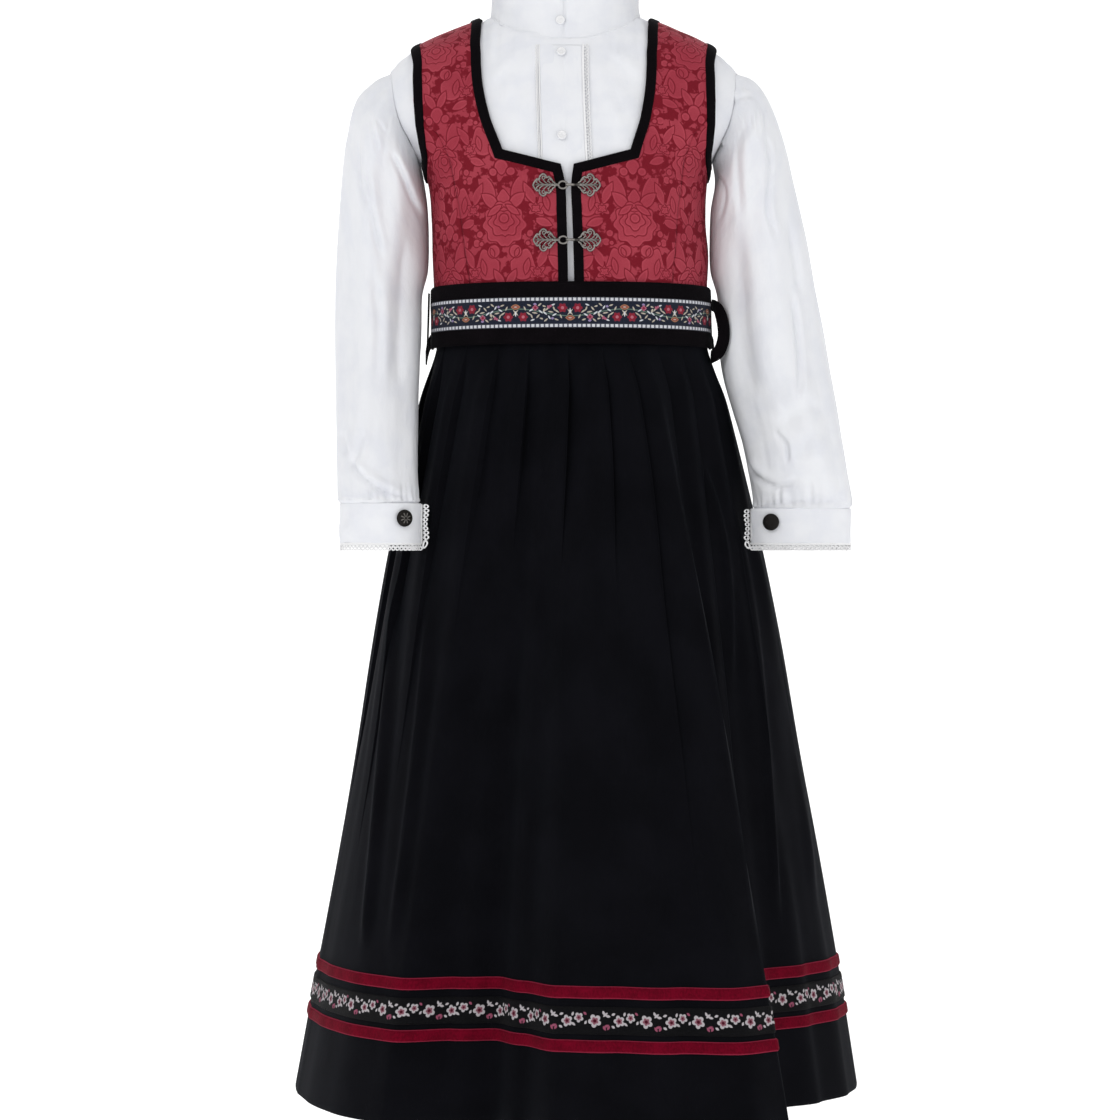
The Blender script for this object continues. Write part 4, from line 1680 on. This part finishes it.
def star(radius, angle):
    """Engraved eight-pointed star inside a rim with a groove, in mm."""
    ray = np.abs((angle * 8 / (2 * math.pi)) % 1.0 - 0.5) * 2.0
    arm = (1 - ease(ray * radius, 0.9, 1.5)) * ease(radius, 0.6, 1.2) * (1 - ease(radius, 4.4, 5.0))
    beads = np.exp(-((radius - 5.9) / 0.35) ** 2) * (0.5 + 0.5 * np.cos(angle * 28))
    return 0.34 * arm + 0.25 * beads - 0.15


def ribbed(radius, angle):
    beads = np.exp(-((radius - 5.8) / 0.35) ** 2) * (0.5 + 0.5 * np.cos(angle * 28))
    ray = np.maximum(np.cos(angle * 12), 0.0)
    return 0.20 * ray * ease(radius, 1.5, 2.6) * (1 - ease(radius, 4.6, 5.1)) + 0.18 * beads - 0.20


def dished(radius, angle):
    holes = 0.0
    for x, y in ((0.75, 0.75), (-0.75, 0.75), (-0.75, -0.75), (0.75, -0.75)):
        off = (radius * np.cos(angle) - x) ** 2 + (radius * np.sin(angle) - y) ** 2
        holes = holes + np.exp(-off / 0.12)
    return -0.45 * (1 - ease(radius, 2.2, 3.0)) - 0.5 * holes


PEARL_BUTTON = [(0, 0), (3.3, 0), (4.0, 0.7), (3.9, 1.5), (3.2, 2.0), (1.6, 1.95), (0, 1.9)]
PEWTER_BUTTON = [(0, 0), (5.6, 0), (7.0, 1.0), (6.9, 2.0), (5.8, 2.9), (3.2, 3.6), (0, 3.9)]

for name, distance_x, level in (("shirt_button_upper", -2.6, -16.0), ("shirt_button_lower", -4.0, -88.0)):
    angle = float(torso_angle(distance_x, level))
    out = facing_of(torso, angle, level)
    turned(name + "_pearl", torso(angle, level) + out * 1.6 * MM, out, PEARL_BUTTON, "pearl", name, dished)
turned("collar_button_pearl", collar(356.0, 0.45) + np.array([0.0, -0.5 * MM, 0.0]),
       np.array([-0.05, -1.0, 0.0]),
       PEARL_BUTTON, "pearl", "collar_button", dished)
for side, word, relief in ((-1, "left", star), (1, "right", ribbed)):
    top, bottom, turn = CUFFS[side][4:]
    level = (top + bottom) / 2 + (4.0 if side < 0 else 3.0)
    out = cuff_out(side, np.array(turn), np.array(level))
    turned("cuff_button_" + word + "_metal",
           cuff_points(side, np.array(turn), np.array(level)) + out * 0.75 * MM, out,
           PEWTER_BUTTON, "old_pewter", "cuff_button_" + word, relief)


class Metalwork:
    """Wires and beads on a flat place, in one piece: x along, z up, y towards the wearer, in mm."""

    def __init__(self):
        self.points = []
        self.faces = []
        self.uvs = []
        self.raised = []
        self.count = 0

    def add(self, rings, closed=False):
        """Tube through rings of points (count, sides, 3)."""
        count, sides = rings.shape[:2]
        rows = count if closed else count - 1
        for i in range(rows):
            j = (i + 1) % count
            for k in range(sides):
                m = (k + 1) % sides
                ring = (i * sides + k, i * sides + m, j * sides + m, j * sides + k)
                self.faces.append(tuple(self.count + place for place in ring))
        if not closed:
            self.faces.append(tuple(self.count + k for k in range(sides))[::-1])
            self.faces.append(tuple(self.count + (count - 1) * sides + k for k in range(sides)))
        front = rings[..., 1].min()
        back = rings[..., 1].max()
        self.raised.append(((back - rings[..., 1]) / max(back - front, 0.01)).ravel())
        self.points.append(rings.reshape(-1, 3))
        self.count += count * sides

    def wire(self, path, radius, closed=False, parts=5, flat=0.85, sides=8, y=0.0):
        """Wire through points (x, z) or (x, y, z), rounded, with one radius or one for each point."""
        path = np.asarray(path, float)
        if path.shape[1] == 2:
            path = np.stack([path[:, 0], np.full(len(path), y), path[:, 1]], -1)
        radius = np.broadcast_to(np.asarray(radius, float), (len(path),))
        if closed:
            path = np.concatenate([path[-1:], path, path[:2]])
            radius = np.concatenate([radius[-1:], radius, radius[:2]])
            steps = np.arange((len(path) - 3) * parts) / parts + 1
        else:
            steps = np.linspace(0, len(path) - 1, (len(path) - 1) * parts + 1)
        keys = np.arange(len(path))
        line = np.stack([curve(steps, keys, path[:, k]) for k in range(3)], -1)
        size = curve(steps, keys, radius)[:, None, None]
        run = np.roll(line, -1, 0) - np.roll(line, 1, 0) if closed else np.gradient(line, axis=0)
        run = unit(run)
        front = np.array([0.0, -1.0, 0.0])
        side = unit(np.cross(run, front))
        out = unit(np.cross(side, run))
        turn = 2 * math.pi * np.arange(sides) / sides
        rings = (line[:, None, :] + side[:, None, :] * np.cos(turn)[None, :, None] * size
                 + out[:, None, :] * np.sin(turn)[None, :, None] * size * flat)
        self.add(rings, closed)

    def bead(self, place, radius):
        x, y, z = place
        lat = np.radians(np.array([-80.0, -50, -20, 10, 40, 70, 88]))
        turn = np.radians(np.arange(0, 360, 36))
        rings = np.stack([
            x + radius * np.cos(lat)[:, None] * np.cos(turn)[None, :],
            y - radius * np.sin(lat)[:, None] + 0.0 * turn[None, :],
            z + radius * np.cos(lat)[:, None] * np.sin(turn)[None, :]], -1)
        self.add(rings)

    def finish(self, name, look, node):
        points = np.concatenate(self.points)
        corners = [place for face in self.faces for place in face]
        uv = points[corners][:, [0, 2]]
        return add_piece(name, points * MM, self.faces, look, (node,), uv, np.concatenate(self.raised))


LEAF_EDGE = [
    # distance in from the outer tip, half height: a leaf with three lobes on each side
    (0.0, 0.0), (1.2, 2.6), (3.2, 4.9), (4.3, 4.1), (5.8, 7.4), (8.2, 9.0), (10.2, 7.8), (11.0, 5.9),
    (12.8, 6.7),
    (14.8, 5.0), (16.2, 2.7), (17.8, 1.4),
]
LEAF_VEINS = [
    # scrolls from the middle rib: distance in, height
    [(16.5, 0.3), (13.6, 1.7), (12.4, 4.3), (13.9, 5.0), (14.2, 3.6)],
    [(13.0, 0.3), (10.2, 2.0), (7.4, 5.6), (8.4, 7.3), (9.9, 6.0), (8.9, 4.9)],
    [(9.2, 0.3), (6.4, 1.7), (4.9, 4.0), (5.9, 5.1)],
    [(5.6, 0.2), (3.6, 1.3), (2.5, 2.7), (3.5, 3.3)],
]
CLASP_OUT = 27.5


def clasp(word, level, middle_x):
    def face_y(x):
        return lifted(torso, torso_angle(x, level), level, 4.1 * MM)[1] / MM

    for kind, side in (("eye", -1), ("hook", 1)):
        base = min(face_y(side * 27.5 + middle_x), face_y(side * 8.0 + middle_x)) - 0.2
        work = Metalwork()

        def at(row, out=0.0):
            return (middle_x + side * (CLASP_OUT - row[0]), base - 0.75 - out, level + row[1])

        edge = LEAF_EDGE + [(distance_in, -half) for distance_in, half in LEAF_EDGE[:0:-1]]
        work.wire([at(row) for row in edge], 0.80, closed=True, flat=0.9)
        work.wire([at((k, 0.0), 0.35) for k in (1.0, 5.0, 9.0, 13.0, 17.6)], (0.5, 0.8, 0.9, 1.0, 1.3),
                  flat=0.8)
        for vein in LEAF_VEINS:
            for up in (1, -1):
                work.wire([at((row[0], up * row[1]), 0.15) for row in vein], 0.55, flat=0.85)
        for row, radius in (((15.6, 0.0), 1.5), ((8.6, 4.4), 0.85), ((8.6, -4.4), 0.85), ((12.0, 3.0), 0.7),
                            ((12.0, -3.0), 0.7), ((5.2, 2.6), 0.6), ((5.2, -2.6), 0.6)):
            work.bead(at(row, 0.3), radius)
        if kind == "eye":
            ring = [(24.4 + 3.6 * math.cos(k * math.pi / 6),
                     3.0 * math.sin(k * math.pi / 6)) for k in range(12)]
            work.wire([at(row) for row in ring], 0.85, closed=True)
            work.wire([at(row, 0.2) for row in ((17.0, 0.0), (19.0, 0.0), (21.2, 0.0))], (1.5, 1.3, 1.2))
        else:
            path = [(middle_x + side * (CLASP_OUT - run), base - y, level) for run, y in (
                (17.0, 0.9), (20.5, 0.9), (22.0, 2.2), (24.0, 3.0), (26.8, 2.9), (28.0, 2.0), (28.2, 0.9))]
            work.wire(path, (1.5, 1.35, 1.2, 1.1, 1.0, 0.85, 0.75), flat=1.0)
        work.finish(f"clasp_{word}_{kind}_metal", "old_pewter", f"clasp_{word}_{kind}")


clasp("upper", -129.5, -0.5)
clasp("lower", -174.5, -0.2)


# Floor, light and camera

world = bpy.context.scene.world or bpy.data.worlds.new("room")
bpy.context.scene.world = world
world.use_nodes = True
world.node_tree.nodes["Background"].inputs["Color"].default_value = (1.0, 1.0, 1.0, 1.0)
world.node_tree.nodes["Background"].inputs["Strength"].default_value = 0.61

FLOOR_Z = -0.965
profile = [(-9.0, FLOOR_Z), (7.5, FLOOR_Z)]
profile += [(7.5 + 1.5 * math.sin(math.radians(a)), FLOOR_Z + 1.5 - 1.5 * math.cos(math.radians(a)))
            for a in range(10, 91, 10)]
profile += [(9.0, 9.0)]
floor_mesh = bpy.data.meshes.new("floor")
floor_mesh.from_pydata([(x, y, z) for y, z in profile for x in (-14.0, 14.0)], [],
                       [(2 * k, 2 * k + 1, 2 * k + 3, 2 * k + 2) for k in range(len(profile) - 1)])
floor_mesh.polygons.foreach_set("use_smooth", [True] * len(floor_mesh.polygons))
floor = bpy.data.objects.new("floor", floor_mesh)
bpy.context.scene.collection.objects.link(floor)
pale = bpy.data.materials.new("pale_floor")
pale.use_nodes = True
for key, value in (("Base Color", (0.9, 0.9, 0.9, 1.0)), ("Roughness", 0.9),
                   ("Emission Color", (1.0, 1.0, 1.0, 1.0)),
                   ("Emission Strength", 0.5)):
    pale.node_tree.nodes["Principled BSDF"].inputs[key].default_value = value
floor_mesh.materials.append(pale)


def area_light(name, place, target, size, power):
    data = bpy.data.lights.new(name, "AREA")
    data.shape = "RECTANGLE"
    data.size, data.size_y = size
    data.energy = power
    light = bpy.data.objects.new(name, data)
    light.location = place
    way = np.array(target) - np.array(place)
    light.rotation_euler = Vector(way).to_track_quat("-Z", "Y").to_euler()
    bpy.context.scene.collection.objects.link(light)


area_light("key", (-1.5, -2.4, 1.4), (0, 0, -0.4), (1.6, 1.6), 20)
area_light("fill", (2.2, -2.2, 0.4), (0, 0, -0.4), (1.8, 1.8), 10)
area_light("top", (0.0, 0.2, 2.4), (0, 0, -0.3), (1.6, 1.6), 8)

camera_data = bpy.data.cameras.new("camera")
camera_data.sensor_width = 36.0
camera_data.angle = 2 * math.atan(0.476 / 2.9)
camera = bpy.data.objects.new("camera", camera_data)
camera.location = (-0.00595, -2.9, -0.438)
camera.rotation_euler = (math.radians(90), 0.0, 0.0)
bpy.context.scene.collection.objects.link(camera)
bpy.context.scene.camera = camera
bpy.context.scene.view_settings.view_transform = "Standard"

# What the cloth was cut to

SHEETS = (
    # piece, flat width and length in m, flat area in square m, how it is held, what it rests on, pieces on it
    ("collar_cloth", 0.310, 0.041, None, "gathered", ("shirt_front_cloth", "shirt_back_cloth"), ()),
    ("shirt_front_cloth", 0.345, 0.375, 0.120, "hung", ("shirt_back_cloth", "collar_cloth"), ()),
    ("shirt_back_cloth", 0.345, 0.375, 0.120, "hung", ("shirt_front_cloth", "collar_cloth"), ()),
    ("placket_cloth", 0.038, 0.225, None, "laid", ("shirt_front_cloth",),
     ("placket_lace_right_trim", "placket_lace_left_trim")),
    ("sleeve_right_cloth", 0.310, 0.350, 0.098, "gathered", ("shirt_front_cloth", "shirt_back_cloth"), ()),
    ("sleeve_left_cloth", 0.300, 0.345, 0.093, "gathered", ("shirt_front_cloth", "shirt_back_cloth"), ()),
    ("cuff_right_cloth", 0.150, 0.041, None, "folded", ("sleeve_right_cloth",), ("cuff_lace_right_trim",)),
    ("cuff_left_cloth", 0.155, 0.041, None, "folded", ("sleeve_left_cloth",), ("cuff_lace_left_trim",)),
    ("vest_front_right_cloth", 0.130, 0.250, 0.021, "hung", ("shirt_front_cloth",), ()),
    ("vest_front_left_cloth", 0.130, 0.250, 0.021, "hung", ("shirt_front_cloth",), ()),
    ("vest_side_right_cloth", 0.075, 0.160, 0.0103, "hung", ("shirt_front_cloth",), ()),
    ("vest_side_left_cloth", 0.075, 0.160, 0.0103, "hung", ("shirt_front_cloth",), ()),
    ("vest_back_right_cloth", 0.155, 0.260, 0.0355, "hung", ("shirt_back_cloth",), ()),
    ("vest_back_left_cloth", 0.155, 0.260, 0.0355, "hung", ("shirt_back_cloth",), ()),
    ("neck_edge_right", 0.016, 0.232, None, "folded", ("vest_front_right_cloth",), ()),
    ("neck_edge_left", 0.016, 0.232, None, "folded", ("vest_front_left_cloth",), ()),
    ("neck_edge_back", 0.016, 0.255, None, "folded", ("vest_back_right_cloth",), ()),
    ("armhole_edge_right", 0.016, 0.248, None, "folded", ("vest_front_right_cloth",), ()),
    ("armhole_edge_left", 0.016, 0.248, None, "folded", ("vest_front_left_cloth",), ()),
    ("waistband_cloth", 0.0125, 0.630, None, "stretched", ("shirt_front_cloth",), ()),
    ("belt_cloth", 0.052, 0.335, None, "stretched", ("vest_front_right_cloth",), ()),
    ("belt_ribbon_trim", 0.024, 0.330, None, "laid", ("belt_cloth",), ()),
    ("tie_right_ribbon", 0.0102, 0.288, None, "hung", ("belt_cloth",), ()),
    ("tie_left_ribbon", 0.0102, 0.238, None, "hung", ("belt_cloth",), ()),
    ("tie_tail_right_ribbon", 0.0102, 0.083, None, "hung", ("tie_knot_cloth",), ()),
    ("tie_tail_left_ribbon", 0.0102, 0.083, None, "hung", ("tie_knot_cloth",), ()),
    ("skirt_front_cloth", 0.820, 0.660, 0.420, "gathered", ("waistband_cloth",), ()),
    ("skirt_back_cloth", 0.820, 0.660, 0.420, "gathered", ("waistband_cloth",), ()),
    ("upper_ribbon_front_trim", 0.010, 0.811, None, "laid", ("skirt_front_cloth",), ()),
    ("upper_ribbon_back_trim", 0.010, 0.810, None, "laid", ("skirt_back_cloth",), ()),
    ("flower_band_front_trim", 0.021, 0.793, None, "laid", ("skirt_front_cloth",), ()),
    ("flower_band_back_trim", 0.021, 0.792, None, "laid", ("skirt_back_cloth",), ()),
    ("lower_ribbon_front_trim", 0.010, 0.845, None, "laid", ("skirt_front_cloth",), ()),
    ("lower_ribbon_back_trim", 0.010, 0.843, None, "laid", ("skirt_back_cloth",), ()),
)

for name, width, length, area, held, under, on_it in SHEETS:
    list(under)
    [bpy.data.objects[other] for other in on_it]
